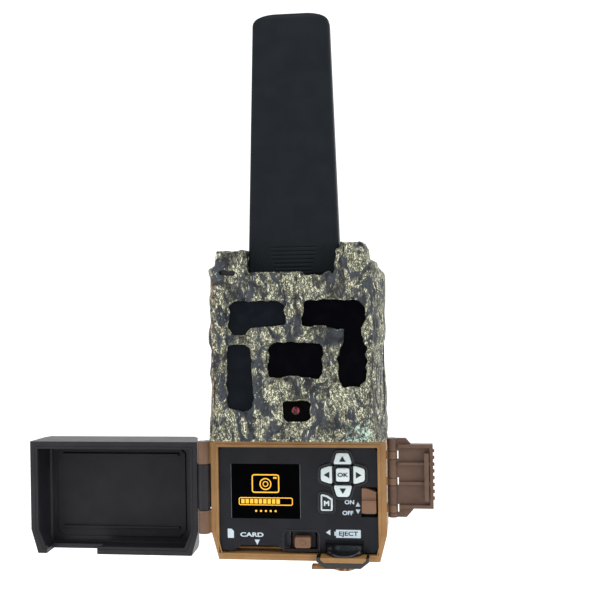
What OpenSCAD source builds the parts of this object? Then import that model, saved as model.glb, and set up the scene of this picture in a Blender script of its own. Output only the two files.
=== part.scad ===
// Cellular trail camera: housing, swing-out door, side latch, fold-back antenna and drop-out battery tray.
// Axes: X to the viewer's right, Z up, the camera looks along -Y. Heights are measured from the housing's
// underside and at_thread() then moves everything so that the origin is the mouth of the rear tripod thread.

/* [Housing] */
// Overall width
body_w = 79; // [78:0.5:80]
// Height up to the shoulders
body_h = 134; // [133:0.5:136]
// Depth from the rear wall to the bark-textured face
body_d = 68; // [68:0.5:70]
// Depth of the rear shell
rear_d = 34; // [34:0.25:34.5]
// Depth of the lower frame that carries the panel
frame_d = 18; // [18:0.25:18.5]
// Height of the part that the door covers
lower_h = 53; // [53:0.25:54]
// Wall thickness of the shells
wall = 2.4; // [2:0.1:2.6]
// Height of the left block beside the antenna
left_block_top = 138.5; // [137:0.5:140]
// Height of the right block beside the antenna
right_block_top = 141.2; // [140:0.1:143]

/* [Antenna] */
// Height of the crown above the housing's underside
antenna_top = 243.5; // [235:0.5:250]
// Half width at the lower end
antenna_half_base = 20.5; // [19.5:0.1:20.6]
// Half width at the shoulders
antenna_half_tip = 17.2; // [16:0.1:18]
// Half thickness at the lower end
antenna_half_t = 5.5; // [5:0.1:5.6]
// Height of the pivot
pivot_z = 134; // [133.8:0.1:134.5]
// Radius of the pivot pin
pivot_r = 2; // [1.8:0.1:2.2]

/* [Door] */
// Radius of the hinge knuckles
knuckle_r = 2.75; // [2.6:0.05:2.8]
// Radius of the hinge pin
door_pin_r = 1.2; // [1:0.1:1.3]
// Thickness of the door's walls
door_wall = 2.2; // [1.8:0.1:2.4]

/* [Latch] */
// Reach of the lever from its pivot to its free end
lever_reach = 17.8; // [17.5:0.1:18]
// Radius of the latch pin
latch_pin_r = 1.1; // [0.9:0.1:1.2]

/* [Control panel] */
// Width of the screen window
screen_w = 31.6; // [30:0.1:31.8]
// Height of the screen window
screen_h = 24.5; // [23:0.1:25]
// How far a key stands out of the panel
key_proud = 1.1; // [0.9:0.1:1.3]
// Gap around a key in its hole
key_gap = 0.35; // [0.3:0.05:0.4]

/* [Battery tray] */
// Radius of an AA cell
cell_r = 7.1; // [7:0.05:7.15]
// Distance from one cell to the next
cell_pitch = 14.5; // [14.4:0.05:14.5]
// Height of the tray
tray_h = 55.5; // [55:0.25:56]

/* [Rear mount] */
// Depth of the strap bracket and of the thread boss
bracket_d = 8; // [8:0.25:8.5]
// Height of the tripod thread above the underside
thread_z = 28; // [24:1:40]
// Inner radius of a quarter-inch tripod thread
thread_r = 2.6; // [2.6:0.05:3.1]

/* [Hidden] */
$fn = 48;

half_w = body_w / 2;
rear_y = -bracket_d;                  // rear wall
split_y = rear_y - rear_d;            // where the rear shell meets the frame
frame_y = split_y - frame_d;          // front of the lower frame
front_y = rear_y - body_d;            // bark-textured face
board_t = 1.6;                        // circuit board thickness
seal_t = 0.6;                         // thickness of the seal between the shells
cut = 1;                              // how far a cutter runs past a face

frame_half = half_w - 0.2;            // the frame sits just inside the shells' flanks
flank_break_y = front_y + 3;          // where the flank meets the corner chamfer
flank_half = half_w - 2.5;            // half width at that corner
face_half = half_w - 4.5;             // half width of the flat face
shoulder = 6;                         // chamfer of the upper corners
rear_corner = 3.4;                    // chamfer of the rear shell's upright edges
foot_rise = 12;                       // height at which the lower corners start to slope in
foot_in = 3.2;                        // how far they slope in
channel_half = 21;                    // half width of the antenna's channel
channel_z = pivot_z - 9.6;            // floor of the antenna's channel
lip_y = front_y + 6;                  // rear of the lip in front of the channel
lip_z = 128.6;                        // top of that lip
lip_half = 19.4;                      // half width between the blocks' front edges
pivot_y = -57;
antenna_split = pivot_y + pivot_r + 0.5;  // where the paddle's two halves meet
running = 0.05;                       // radial clearance of a running fit

screw_x = 34.6;                       // case screws
screw_zs = [8, 126];
screw_r = 1.5;
head_r = 2.4;
post_r = 2.6;
bracket_half = 22;                    // strap bracket
bracket_z = [60, 108];
strap_z = [68, 100];                  // gap for the strap
bracket_screw_xs = [-16, 16];
bracket_screw_zs = [64, 104];

panel_y = frame_y + 1.5;              // front face of the control panel
panel_t = 1.8;
panel_x = [-35.9, 35.4];
panel_z = [3.6, 50.3];
panel_back = panel_y + panel_t;
opening_x = [-36, 35.5];              // the frame's opening around the panel
opening_z = [2.8, 50.4];
back_wall_y = split_y - 1.4;          // wall between the battery bay and the electronics

screen_x = -30.6;
screen_z = 18.2;
pad_x = 20;                           // centre of the direction pad
pad_z = 38.2;
arrow_near = 4.7;                     // arrow keys: distance of the near and far edges from the pad's centre
arrow_far = 9.8;
arrow_near_half = 3.9;
arrow_far_half = 2.7;
ok_half = 3;
mode_x = [10, 15.4];
mode_z = [22.1, 29.7];
slider_x = [28.3, 34.7];
slider_z = [21.7, 32.4];
slider_travel = 2;
eject_x = [-1.8, 5.4];
eject_z = [5.6, 10.5];
eject_travel = 4;
recess_x = [-6.2, 8.3];
recess_z = [4.8, 12.4];
key_stem_y = panel_back + 1.6;        // rear of the keys
board_front_y = -53.6;                // front of the control board

hinge_x = -(half_w + 3);
hinge_y = frame_y;
body_knuckles = [[11.8, 22.1], [43.1, 53]];
door_knuckle = [22.4, 42.8];
door_x = [-39.4, 39.2];               // the door, in its shut place
door_z = [1, 52.5];
door_back = frame_y - 0.3;
catch_y = [front_y + 5.8, front_y + 10];
catch_z = [25, 50];
boss_x = 20.35;                       // jack boss on the panel
boss_r = 8.55;
boss_top = 9;
boss_slope = 22;                      // degrees that its upper face slopes down to the front

latch_x = frame_half + 2.7;
latch_y = frame_y + 3.5;
lug_r = 2.2;
latch_lugs = [[21.6, 24.8], [33.6, 36.6], [45.2, 48.4]];
lever_knuckles = [[19.4, 21.3], [25.1, 33.3], [36.9, 44.9], [48.7, 54.2]];
lever_z = [23.5, 51.7];
lever_plate = 2.2;
lever_rim = 1.6;

ledge_x = [10.2, 30.2];               // ledge below the door, around the power jack
ledge_z = [1.4, 3.5];
ledge_y = frame_y - 7.2;
ledge_bevel = 1.5;
collar_x = [8.4, 31.4];               // black collar that holds the ledge from below
collar_z = [-1.3, 3.4];
collar_bevel = 3.6;
under_x = [12.6, 27.2];               // part of the collar below the frame
jack_y = frame_y - 0.2;
jack_r = 4;
plug_r = 4.9;
plug_z = [-2.7, 0];
jack_z = [0.4, 5.2];
tab_x = [5.9, 7.4];                   // raised end of the plug's pull tab

tray_half = 31;
tray_y = [split_y + 0.8, rear_y - wall - 0.8];
tray_mid = (tray_y[0] + tray_y[1]) / 2;
cell_z = [3.9, 52.9];
bay_roof = 58;
bay_half = tray_half + 0.9;

window_y = front_y + wall;            // rear face of the bark wall
pane_t = 1.6;
lens_x = 1.3;
lens_z = 68.6;
lens_r = 4.6;
led_board_y = -62;
led_r = 2.5;
sensor_z = 90.8;

// Window openings, as outlines in X and Z
top_left_outline = [[-27.4, 104.8], [-27.5, 113.8], [-25, 115.6], [-5.6, 116], [-3.2, 114.2],
                    [-2.6, 105.4], [-11.4, 105.3], [-17.2, 104.5], [-19.8, 102], [-25.6, 101.8]];
top_right_outline = [[4.4, 105.4], [5.6, 114.8], [14.4, 116.6], [29.6, 115.2], [31.6, 113], [31.9, 107.7],
                     [29.4, 103], [29.5, 100.2], [32.2, 96.6], [31.8, 81.3], [29, 78.6], [21.4, 79.2],
                     [20.1, 82], [20, 92], [22.3, 97.4], [22.3, 103.8], [14.4, 105.1]];
left_outline = [[-28.2, 93], [-27.8, 96.9], [-19.6, 97.5], [-17.9, 94.3], [-17, 78.5], [-17.4, 70],
                [-19.6, 69.2], [-27.7, 69.2], [-28.9, 79.6], [-28.1, 84.3]];
center_outline = [[-10, 84.2], [-10, 96.7], [-9, 97.9], [12.4, 97.9], [13.2, 96.8], [13.3, 84.2],
                  [12.2, 83.1], [-9, 83.3]];
lens_outline = [[-4.1, 65.5], [-4.2, 71.4], [-3.1, 72.6], [5.7, 72.6], [7.2, 71.2], [7.2, 65.4],
                [5.7, 64], [-2.6, 64]];
slot_outline = [[-31.2, 127.4], [-31.2, 129.1], [-24.2, 129.1], [-24.2, 127.4]];

// ---- helpers ----

// Moves the origin from the housing's underside to the mouth of the tripod thread
module at_thread() translate([0, 0, -thread_z]) children();

// Box between two X values, two Y values and two Z values
module block(x, y, z) translate([x[0], y[0], z[0]]) cube([x[1] - x[0], y[1] - y[0], z[1] - z[0]]);

// Extrudes an outline drawn in X and Z from y[0] to y[1]
module slab(y, outline)
  translate([0, y[1], 0]) rotate([90, 0, 0]) linear_extrude(y[1] - y[0]) polygon(outline);

// Round bar along Y
module bar_y(x, z, y, r) translate([x, y[0], z]) rotate([-90, 0, 0]) cylinder(h = y[1] - y[0], r = r);

// Round bar along Z
module bar_z(x, y, z, r) translate([x, y, z[0]]) cylinder(h = z[1] - z[0], r = r);

// Round bar along X
module bar_x(x, y, z, r) translate([x[0], y, z]) rotate([0, 90, 0]) cylinder(h = x[1] - x[0], r = r);

// Outline mirrored to the left and joined to itself
function both_sides(right) = concat(right, [for (i = [len(right) - 1 : -1 : 0]) [-right[i][0], right[i][1]]]);

// Rectangle with cut corners
function cut_rect(x, z, c) = [
  [x[0] + c, z[0]], [x[1] - c, z[0]], [x[1], z[0] + c], [x[1], z[1] - c],
  [x[1] - c, z[1]], [x[0] + c, z[1]], [x[0], z[1] - c], [x[0], z[0] + c]
];

// Rectangle whose two lower corners are slanted
function bevelled_foot(x, z, bevel) = [
  [x[0], z[1]], [x[0], z[0] + 0.8 * bevel], [x[0] + bevel, z[0]],
  [x[1] - bevel, z[0]], [x[1], z[0] + 0.8 * bevel], [x[1], z[1]]
];

// Outline of the whole housing seen from the front, d inside the outer surface
function case_outline(d) = both_sides([
  [half_w - foot_in - d, d], [half_w - d, foot_rise], [half_w - d, body_h - shoulder - 0.4 * d],
  [half_w - shoulder - 0.4 * d, body_h - d], [channel_half + d, body_h - d], [channel_half + d, channel_z - d]
]);

// Outline of the part that the door covers
function lower_outline(half, d, top) =
  both_sides([[half - foot_in - d, d], [half - d, foot_rise], [half - d, top]]);

// Outline of the part above the door
function upper_outline(d) = both_sides([
  [half_w - d, lower_h + (d > 0 ? wall : 0)], [half_w - d, body_h - shoulder - 0.4 * d],
  [half_w - shoulder - 0.4 * d, body_h - d], [channel_half + d, body_h - d], [channel_half + d, channel_z - d]
]);

// Plan of the front half, seen from above, d inside the outer surface
function front_plan(d) = both_sides([
  [half_w - d, split_y + (d > 0 ? cut : 0)], [half_w - d, frame_y], [flank_half - d, flank_break_y],
  [face_half - 0.4 * d, front_y + d]
]);

// Plan of the rear shell, d inside the outer surface
function rear_plan(d) = both_sides([
  [half_w - d, split_y - (d > 0 ? cut : 0)], [half_w - d, rear_y - rear_corner - 0.4 * d],
  [half_w - rear_corner - 0.4 * d, rear_y - d]
]);

// ---- housing ----

module seal_ring(y) difference() {
  slab(y, case_outline(0.8));
  slab([y[0] - cut, y[1] + cut], case_outline(1.6));
}

module screw_posts(y, zs, bore) for (side = [-1, 1], z = zs) difference() {
  bar_y(side * screw_x, z, y, post_r);
  bar_y(side * screw_x, z, [y[0] - cut, y[1] + cut], bore);
}

module rear_shell() color("#4d4a40") at_thread() {
  difference() {
    union() {
      intersection() {
        slab([split_y, rear_y], case_outline(0));
        linear_extrude(body_h) polygon(rear_plan(0));
      }
      bar_y(0, thread_z, [rear_y - cut, 0], 9);
    }
    intersection() {
      slab([split_y - cut, rear_y - wall], case_outline(wall));
      linear_extrude(body_h) polygon(rear_plan(wall));
    }
    block([-bay_half, bay_half], [split_y - cut, rear_y - wall], [-cut, wall + cut]);
    seal_ring([split_y - cut, split_y + seal_t]);
    bar_y(0, thread_z, [rear_y - 1.4, cut], 5.02);
    for (side = [-1, 1], z = screw_zs) bar_y(side * screw_x, z, [split_y, cut], screw_r + 0.1);
    for (side = [-1, 1], z = screw_zs) bar_y(side * screw_x, z, [rear_y - 3, cut], head_r + 0.2);
  }
  screw_posts([split_y + seal_t, rear_y - 3], screw_zs, screw_r + 0.1);
  // Roof of the battery bay
  difference() {
    block([-half_w + wall, half_w - wall], [split_y, rear_y - wall], [bay_roof, bay_roof + 2]);
    for (side = [-1, 1])
      block([side * 30 - 3, side * 30 + 3], [split_y - cut, split_y + 4], [bay_roof - cut, bay_roof + 3]);
  }
}

// The seal stops on both sides of the battery bay's mouth
module body_gasket() color("#1c1c1e") at_thread() difference() {
  seal_ring([split_y, split_y + seal_t]);
  block([-bay_half - 0.4, bay_half + 0.4], [split_y - cut, split_y + 2], [-cut, wall + cut]);
}

module case_screws() color("#6b6d70") at_thread() for (side = [-1, 1], z = screw_zs) {
  bar_y(side * screw_x, z, [split_y - 8, rear_y - 3], screw_r);
  difference() {
    bar_y(side * screw_x, z, [rear_y - 3, rear_y - 1.2], head_r);
    bar_y(side * screw_x, z, [rear_y - 2.2, rear_y], 1.1, $fn = 6);
  }
}

module mid_frame() color("#8a6b4c") at_thread() {
  difference() {
    union() {
      slab([frame_y, split_y], lower_outline(frame_half, 0, lower_h - 0.1));
      for (z = body_knuckles) bar_z(hinge_x, hinge_y, z, knuckle_r);
      for (z = body_knuckles) block([hinge_x, -frame_half + cut], [hinge_y + 0.3, hinge_y + 3.2], z);
      for (z = latch_lugs) bar_z(latch_x, latch_y, z, lug_r);
      for (z = latch_lugs) block([frame_half - cut, latch_x], [latch_y - 0.9, latch_y + lug_r], z);
      slab([ledge_y, split_y], bevelled_foot(ledge_x, ledge_z, ledge_bevel));
    }
    block(opening_x, [frame_y - cut, back_wall_y], opening_z);
    block([-30, 30], [frame_y + 5, back_wall_y], [opening_z[1] - cut, lower_h + cut]);
    // Slot for the tray bolt
    block([eject_x[0] - 2.4, eject_x[0] + 6.4], [back_wall_y - cut, split_y + cut], [6.6, 9.4]);
    // Slot for the memory card
    block([-30.2, -5.6], [-51.6, -48.6], [-cut, opening_z[0] + cut]);
    for (z = body_knuckles) bar_z(hinge_x, hinge_y, [z[0] - cut, z[1] + cut], door_pin_r + running);
    for (z = latch_lugs) bar_z(latch_x, latch_y, [z[0] - cut, z[1] + cut], latch_pin_r + running);
    bar_z(boss_x, jack_y, [-cut, opening_z[0] + cut], plug_r + 0.35);
    for (side = [-1, 1]) bar_y(side * screw_x, screw_zs[0], [split_y - 8, split_y + cut], screw_r + 0.02);
  }
  screw_posts([split_y - 9.5, back_wall_y], [screw_zs[0]], screw_r + 0.02);
}

module front_shell() color("#5b584b") at_thread() {
  left_block = [[-21, channel_z - wall], [-21, left_block_top], [-35.5, left_block_top],
                [-37, 132], [-37, 122]];
  right_block = [[21, channel_z - wall], [21, right_block_top], [32.5, right_block_top],
                 [35.8, 138.5], [37, 132], [37, 122]];
  difference() {
    union() {
      intersection() {
        union() {
          slab([front_y, split_y], upper_outline(0));
          slab([front_y, split_y], left_block);
          slab([front_y, split_y], right_block);
          slab([front_y, lip_y], cut_rect([-22, 22], [channel_z - 4, lip_z], 0.5));
          slab([front_y, lip_y], cut_rect([-22, -lip_half], [lip_z - cut, left_block_top - 3], 0.5));
          slab([front_y, lip_y], cut_rect([lip_half, 22], [lip_z - cut, right_block_top - 3], 0.5));
        }
        linear_extrude(right_block_top + cut) polygon(front_plan(0));
      }
    }
    intersection() {
      slab([window_y, split_y + cut], upper_outline(wall));
      linear_extrude(body_h) polygon(front_plan(wall));
    }
    // Way down to the panel for the boards
    block([-34, 34], [frame_y + 4, split_y + cut], [lower_h - cut, lower_h + wall + cut]);
    for (outline = [top_left_outline, top_right_outline, left_outline, center_outline,
                    lens_outline, slot_outline])
      slab([front_y - cut, window_y + cut], outline);
    bar_x([-25, 25], pivot_y, pivot_z, pivot_r + 0.02);
  }
  screw_posts([split_y - 9.5, split_y], [screw_zs[1]], screw_r + 0.02);
}

module strap_bracket() color("#7a5f45") at_thread() difference() {
  slab([rear_y, 0], cut_rect([-bracket_half, bracket_half], bracket_z, 3));
  block([-bracket_half - cut, bracket_half + cut], [rear_y - cut, -3], strap_z);
  for (x = bracket_screw_xs, z = bracket_screw_zs) {
    bar_y(x, z, [rear_y - cut, cut], 1.65);
    bar_y(x, z, [-2.6, cut], 3.1);
  }
}

module bracket_screws() color("#6b6d70") at_thread()
  for (x = bracket_screw_xs, z = bracket_screw_zs) difference() {
    union() {
      bar_y(x, z, [rear_y, -2.6], 1.6);
      bar_y(x, z, [-2.6, -0.4], 2.9);
    }
    bar_y(x, z, [-1.6, cut], 1.1, $fn = 6);
  }

module thread_insert() color("#b08d4a") at_thread() difference() {
  bar_y(0, thread_z, [rear_y - 1.4, 0], 5);
  bar_y(0, thread_z, [rear_y - 1.4 - cut, cut], thread_r);
}

// ---- windows, sensors and flash ----

module pane(x, z) color("#15181c") at_thread() slab([window_y, window_y + pane_t], cut_rect(x, z, 1.5));

module window_top_left() pane([-29.4, -1.1], [100.3, 117.4]);

module window_top_right() color("#15181c") at_thread()
  slab([window_y, window_y + pane_t],
       [[2.8, 103.6], [2.8, 118], [33.6, 118], [33.6, 77], [18.4, 77], [18.4, 103.6]]);

module window_left() pane([-30.6, -15.4], [67.6, 99.1]);

module window_center() pane([-11.7, 15], [81.5, 99.5]);

module lens_window() pane([-5.9, 8.9], [62.4, 74.2]);

module lens_barrel() color("#202022") at_thread() difference() {
  bar_y(lens_x, lens_z, [window_y + pane_t + 0.3, led_board_y + 4], lens_r);
  bar_y(lens_x, lens_z, [window_y + pane_t, led_board_y + 3], lens_r - 1.1);
}

module lens_element() color("#6b2a33") at_thread() intersection() {
  bar_y(lens_x, lens_z, [window_y + pane_t + 0.8, window_y + pane_t + 4], lens_r - 1.1);
  translate([lens_x, window_y + pane_t + 7.6, lens_z]) sphere(r = 6.6);
}

module image_sensor_board() color("#1f5a38") at_thread()
  block([-12, 9], [led_board_y + 4, led_board_y + 4 + board_t], [58, 77]);

module ir_led_board() color("#1f5a38") at_thread() difference() {
  block([-34, 34], [led_board_y, led_board_y + board_t], [64, 121]);
  block([-13, 10], [led_board_y - cut, led_board_y + board_t + cut], [63, 78]);
}

module led_grid(xs, zs) for (x = xs, z = zs) {
  bar_y(x, z, [led_board_y - 5, led_board_y], led_r);
  translate([x, led_board_y - 5, z]) sphere(r = led_r - 0.2);
}

module ir_leds() color("#c9ccd2") at_thread() {
  led_grid([-27, -21, -15, -9], [107.5, 113.2]);
  led_grid([6, 12, 18, 24], [107.5, 113.2]);
  led_grid([20.8, 26.8], [82, 89, 96]);
  led_grid([-28.4, -22.6], [73, 80, 87, 94]);
}

module motion_sensor() color("#b9bcc0") at_thread() {
  bar_y(-1, sensor_z, [led_board_y - 4, led_board_y], 4.5);
  bar_y(-1, sensor_z, [led_board_y - 4.6, led_board_y - 4], 3.2);
}

module light_sensor() color("#3a3c40") at_thread()
  block([-30.6, -24.8], [window_y, window_y + 2], [126.9, 129.6]);

module main_board() color("#1f5a38") at_thread() block([-33, 33], [-50, -50 + board_t], [60.5, 121]);

module cellular_modem() color("#b9bcc0") at_thread() slab([-52.8, -50], cut_rect([3, 29], [66, 98], 1));

// ---- control panel ----

// Outline of one arrow key, turned about the pad's centre: 0 is up, 90 is left
function arrow_outline(turn, grow) = [for (p = [
  [-arrow_near_half - grow, arrow_near - grow], [arrow_near_half + grow, arrow_near - grow],
  [arrow_near_half + grow, arrow_near + 1.2], [arrow_far_half + grow, arrow_far + grow],
  [-arrow_far_half - grow, arrow_far + grow], [-arrow_near_half - grow, arrow_near + 1.2]])
  [pad_x + p[0] * cos(turn) - p[1] * sin(turn), pad_z + p[0] * sin(turn) + p[1] * cos(turn)]];

function ok_outline(grow) = cut_rect([pad_x - ok_half - grow, pad_x + ok_half + grow],
                                     [pad_z - ok_half - grow, pad_z + ok_half + grow], 1.1);

function mode_outline(grow) = [
  [mode_x[0] - grow, mode_z[0] - grow], [mode_x[1] + grow, mode_z[0] - grow],
  [mode_x[1] + grow, mode_z[1] - 2.5], [mode_x[1] - 2.2, mode_z[1] + grow],
  [mode_x[0] - grow, mode_z[1] + grow]
];

module key_solid(outline, flange) {
  slab([panel_y - key_proud, panel_back], outline);
  slab([panel_back + 0.1, key_stem_y], flange);
  slab([panel_back, panel_back + 0.1], outline);
}

module arrow_key(turn) color("#bac5c6") at_thread() key_solid(arrow_outline(turn, 0), arrow_outline(turn, 0));

module key_up() arrow_key(0);

module key_left() arrow_key(90);

module key_down() arrow_key(180);

module key_right() arrow_key(270);

module key_ok() color("#d3dee3") at_thread() key_solid(ok_outline(0), ok_outline(0.3));

module key_mode() color("#26272b") at_thread() key_solid(mode_outline(0), mode_outline(0.6));

module jack_boss(low) difference() {
  bar_z(boss_x, panel_y, [low, boss_top], boss_r);
  translate([boss_x, panel_y, 7.8]) rotate([boss_slope, 0, 0]) block([-20, 20], [-30, 0], [0, 20]);
  block([boss_x - 20, boss_x + 20], [panel_back, panel_back + 20], [low - cut, boss_top + cut]);
}

module control_panel() color("#2c2d32") at_thread() {
  notch = [[-29.8, -cut], [-29.8, panel_z[0]], [-26, 6.1], [-10, 6.1], [-5.6, panel_z[0]], [-5.6, -cut]];
  difference() {
    union() {
      slab([panel_y, panel_back], cut_rect(panel_x, panel_z, 1.6));
      jack_boss(panel_z[0]);
      block([boss_x - boss_r, boss_x + boss_r], [panel_y, panel_back],
            [opening_z[0] + 0.1, panel_z[0] + cut]);
      bar_z(boss_x, panel_y, [ledge_z[1] + 0.1, panel_z[0] + 0.2], boss_r);
    }
    through = [panel_y - cut, panel_back + cut];
    slab(through, notch);
    block([screen_x, screen_x + screen_w], through, [screen_z, screen_z + screen_h]);
    for (turn = [0 : 90 : 270]) slab(through, arrow_outline(turn, key_gap));
    slab(through, ok_outline(key_gap));
    slab(through, mode_outline(key_gap));
    block([slider_x[0] - 0.3, panel_x[1] + cut], through,
          [slider_z[0] - slider_travel - 0.3, slider_z[1] + 0.3]);
    block(recess_x, through, recess_z);
    // Room behind the boss for the power jack
    bar_z(boss_x, jack_y, [0, jack_z[1]], jack_r + 0.1);
    block([boss_x - 20, boss_x + 20], [frame_y, panel_back + 20], [0, opening_z[0] + 0.05]);
    block([boss_x - 20, boss_x + 20], [panel_back, panel_back + 20], [0, boss_top + cut]);
  }
}

module control_board() color("#1f5a38") at_thread() difference() {
  block([-34, 34], [board_front_y, board_front_y + board_t], [14, 49]);
  block([-8, 8], [board_front_y - cut, board_front_y + board_t + cut], [13, 15]);
}

module keypad_membrane() color("#5c5f63") at_thread()
  slab([board_front_y - 0.4, board_front_y], cut_rect([8, 27.5], [20, 48.5], 2));

module screen_window() color("#050506") at_thread()
  block([screen_x, screen_x + screen_w], [panel_y + 0.2, panel_back], [screen_z, screen_z + screen_h]);

module lcd_module() color("#101114") at_thread()
  block([screen_x - 1.2, screen_x + screen_w + 1.2], [panel_back, board_front_y],
        [screen_z - 1, screen_z + screen_h + 1]);

module card_socket() color("#9fa2a6") at_thread() difference() {
  block([-31.3, -4.5], [-51.9, -48.3], [4.5, 34]);
  block([-30, -5.8], [-51.3, -48.9], [3.5, 32.5]);
}

module power_switch() color("#8d9094") at_thread()
  block([29, 34], [board_front_y - 1.2, board_front_y], [20, 31]);

module power_slider() color("#83624b") at_thread() {
  slope = [[slider_x[0], slider_z[0]], [slider_x[1], slider_z[0]], [slider_x[1], slider_z[1] - 1.6],
           [slider_x[0] + 2, slider_z[1]], [slider_x[0], slider_z[1]]];
  knob = [[slider_x[0], slider_z[0]], [slider_x[1], slider_z[0]], [slider_x[1], 27.4], [slider_x[0], 27.4]];
  slab([panel_y - 1.2, panel_back - 0.2], slope);
  slab([panel_y - 2.8, panel_y - 1.2], knob);
  block([30.5, 32.5], [panel_back - 0.2, board_front_y - 1.5], [25, 28]);
}

module eject_slider() color("#84644f") at_thread() {
  bolt_z = [7, 9];
  slab([panel_y - 1.7, panel_back + 0.3], cut_rect(eject_x, eject_z, 0.6));
  block([eject_x[0] - 1.4, eject_x[1] + 2], [panel_back + 0.3, panel_back + 1.4], [5, 12]);
  block([eject_x[0] + 2, eject_x[0] + 6], [panel_back + 1.4, split_y + 0.3], bolt_z);
}

// ---- power jack ----

module jack_collar() color("#26272b") at_thread() difference() {
  union() {
    slab([ledge_y + 1, frame_y - 0.1], bevelled_foot(collar_x, collar_z, collar_bevel));
    block(under_x, [frame_y - 0.2, frame_y + 8], [collar_z[0], -0.1]);
  }
  slab([ledge_y, frame_y], bevelled_foot(ledge_x + [-0.1, 0.1], ledge_z + [-0.1, 1], ledge_bevel));
  bar_z(boss_x, jack_y, [collar_z[0] - cut, ledge_z[0] + cut], plug_r + 0.35);
}

module dc_jack() color("#3a3c40") at_thread() difference() {
  bar_z(boss_x, jack_y, jack_z, jack_r);
  bar_z(boss_x, jack_y, [jack_z[0] - cut, jack_z[1] - 1.2], jack_r - 1.1);
}

module jack_plug() color("#a57043") at_thread() {
  tab_y = [jack_y - 2.5, jack_y + 2.5];
  bar_z(boss_x, jack_y, plug_z, plug_r);
  block([tab_x[0], boss_x], tab_y, [plug_z[0], plug_z[0] + 1]);
  block(tab_x, tab_y, [plug_z[0], plug_z[0] + 2]);
}

// ---- antenna ----

module paddle(y) {
  face = both_sides([[antenna_half_base, pivot_z - 8], [antenna_half_tip, antenna_top - 7],
                     [antenna_half_tip - 2.4, antenna_top - 2.2], [8, antenna_top]]);
  side = [[-antenna_half_t, pivot_z - 6], [-antenna_half_t + 1.5, pivot_z - 8],
          [antenna_half_t - 1.5, pivot_z - 8], [antenna_half_t, pivot_z - 6],
          [antenna_half_t - 1.4, antenna_top - 2], [antenna_half_t - 2.4, antenna_top],
          [-antenna_half_t + 2.4, antenna_top], [-antenna_half_t + 1.4, antenna_top - 2]];
  intersection() {
    slab([pivot_y - 10, pivot_y + 10], face);
    translate([-30, pivot_y, 0]) rotate([90, 0, 90]) linear_extrude(60) polygon(side);
    block([-30, 30], y, [pivot_z - 10, antenna_top + cut]);
  }
}

module antenna_front() color("#25292d") at_thread() difference() {
  paddle([pivot_y - 10, antenna_split]);
  bar_x([-30, 30], pivot_y, pivot_z, pivot_r + running);
  block([-10, 10], [pivot_y - 2, antenna_split + cut], [pivot_z + 10, antenna_top - 8]);
}

module antenna_back() color("#25292d") at_thread() paddle([antenna_split, pivot_y + 10]);

module antenna_element() color("#b87a4b") at_thread()
  block([-8, 8], [antenna_split - 0.8, antenna_split], [pivot_z + 12, antenna_top - 10]);

module antenna_pin() color("#8d9094") at_thread() bar_x([-24.5, 24.5], pivot_y, pivot_z, pivot_r);

// ---- door, drawn shut and then swung open ----

// Half turn about the hinge: the open door faces the viewer
module swung_open() translate([2 * hinge_x, 2 * hinge_y, 0]) rotate([0, 0, 180]) children();

module door_block(d, y) intersection() {
  slab(y, [[door_x[0] + foot_in + d, door_z[0] + d], [door_x[1] - foot_in - d, door_z[0] + d],
           [door_x[1] - d, foot_rise], [door_x[1] - d, door_z[1] - d],
           [door_x[0] + d, door_z[1] - d], [door_x[0] + d, foot_rise]]);
  linear_extrude(body_h) polygon(front_plan(d));
}

// Cut in the door's lower edge for the jack boss and its ledge
module boss_notch()
  block([collar_x[0] - 0.4, collar_x[1] + 0.4], [frame_y - boss_r - 1, frame_y + cut], [0, 14]);

module door_shell() color("#232228") at_thread() swung_open() difference() {
  union() {
    door_block(0, [front_y, door_back]);
    bar_z(hinge_x, hinge_y, door_knuckle, knuckle_r);
    block([hinge_x, door_x[0] + cut], [hinge_y - 2.7, hinge_y - 0.6], door_knuckle);
    block([flank_half - 2, frame_half], catch_y, catch_z);
  }
  door_block(door_wall, [front_y + door_wall, door_back + cut]);
  bar_z(hinge_x, hinge_y, [door_knuckle[0] - cut, door_knuckle[1] + cut], door_pin_r + running);
  boss_notch();
}

module door_liner() color("#1b1b20") at_thread() swung_open() {
  liner_y = front_y + door_wall;
  slab([liner_y, liner_y + 1], cut_rect([-31, 31], [6, 48], 3));
  for (z = [10, 44]) block([-28, 28], [liner_y + 1, liner_y + 2.2], [z, z + 1.2]);
}

module door_gasket() color("#141416") at_thread() swung_open() difference() {
  door_block(door_wall + 0.05, [door_back - 1.6, door_back - 0.1]);
  door_block(door_wall + 1.2, [door_back - 2.6, door_back + cut]);
  boss_notch();
}

module door_pin() color("#8d9094") at_thread() bar_z(hinge_x, hinge_y, [11.6, 53.2], door_pin_r);

// ---- latch ----

module latch_lever() color("#9b7c65") at_thread() translate([latch_x, latch_y, 0]) difference() {
  inner = -lever_rim - 0.6;           // side that faces the housing when shut
  outer = lever_plate - 0.6;
  root = lug_r + 0.5;                 // the plate starts clear of the lugs
  lip = [13.9, 15.9];
  union() {
    block([root, lever_reach], [-0.6, outer], lever_z);
    for (z = [[lever_z[0], lever_z[0] + 1.5], [lever_z[1] - 1.5, lever_z[1]], [34, 35.2], [42.6, 43.8]])
      block([root, lever_reach], [inner, 0], z);
    block([lever_reach - 1.5, lever_reach], [inner, 0], lever_z);
    block(lip, [-3.8, 0], [27, 48]);
    for (z = lever_knuckles) bar_z(0, 0, z, lug_r);
    for (z = lever_knuckles) block([0, root + 0.5], [-0.6, outer], z);
    for (z = [[19.4, 23.6], [51.6, 54.2]]) block([root, 6], [-0.6, outer], z);
    // Finger serrations on the free end
    for (z = [27 : 3 : 48]) bar_z(lever_reach, 0.5, [z, z + 1.4], 0.7);
  }
  for (z = lever_knuckles) bar_z(0, 0, [z[0] - 0.2, z[1] + 0.2], latch_pin_r + running);
}

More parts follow.
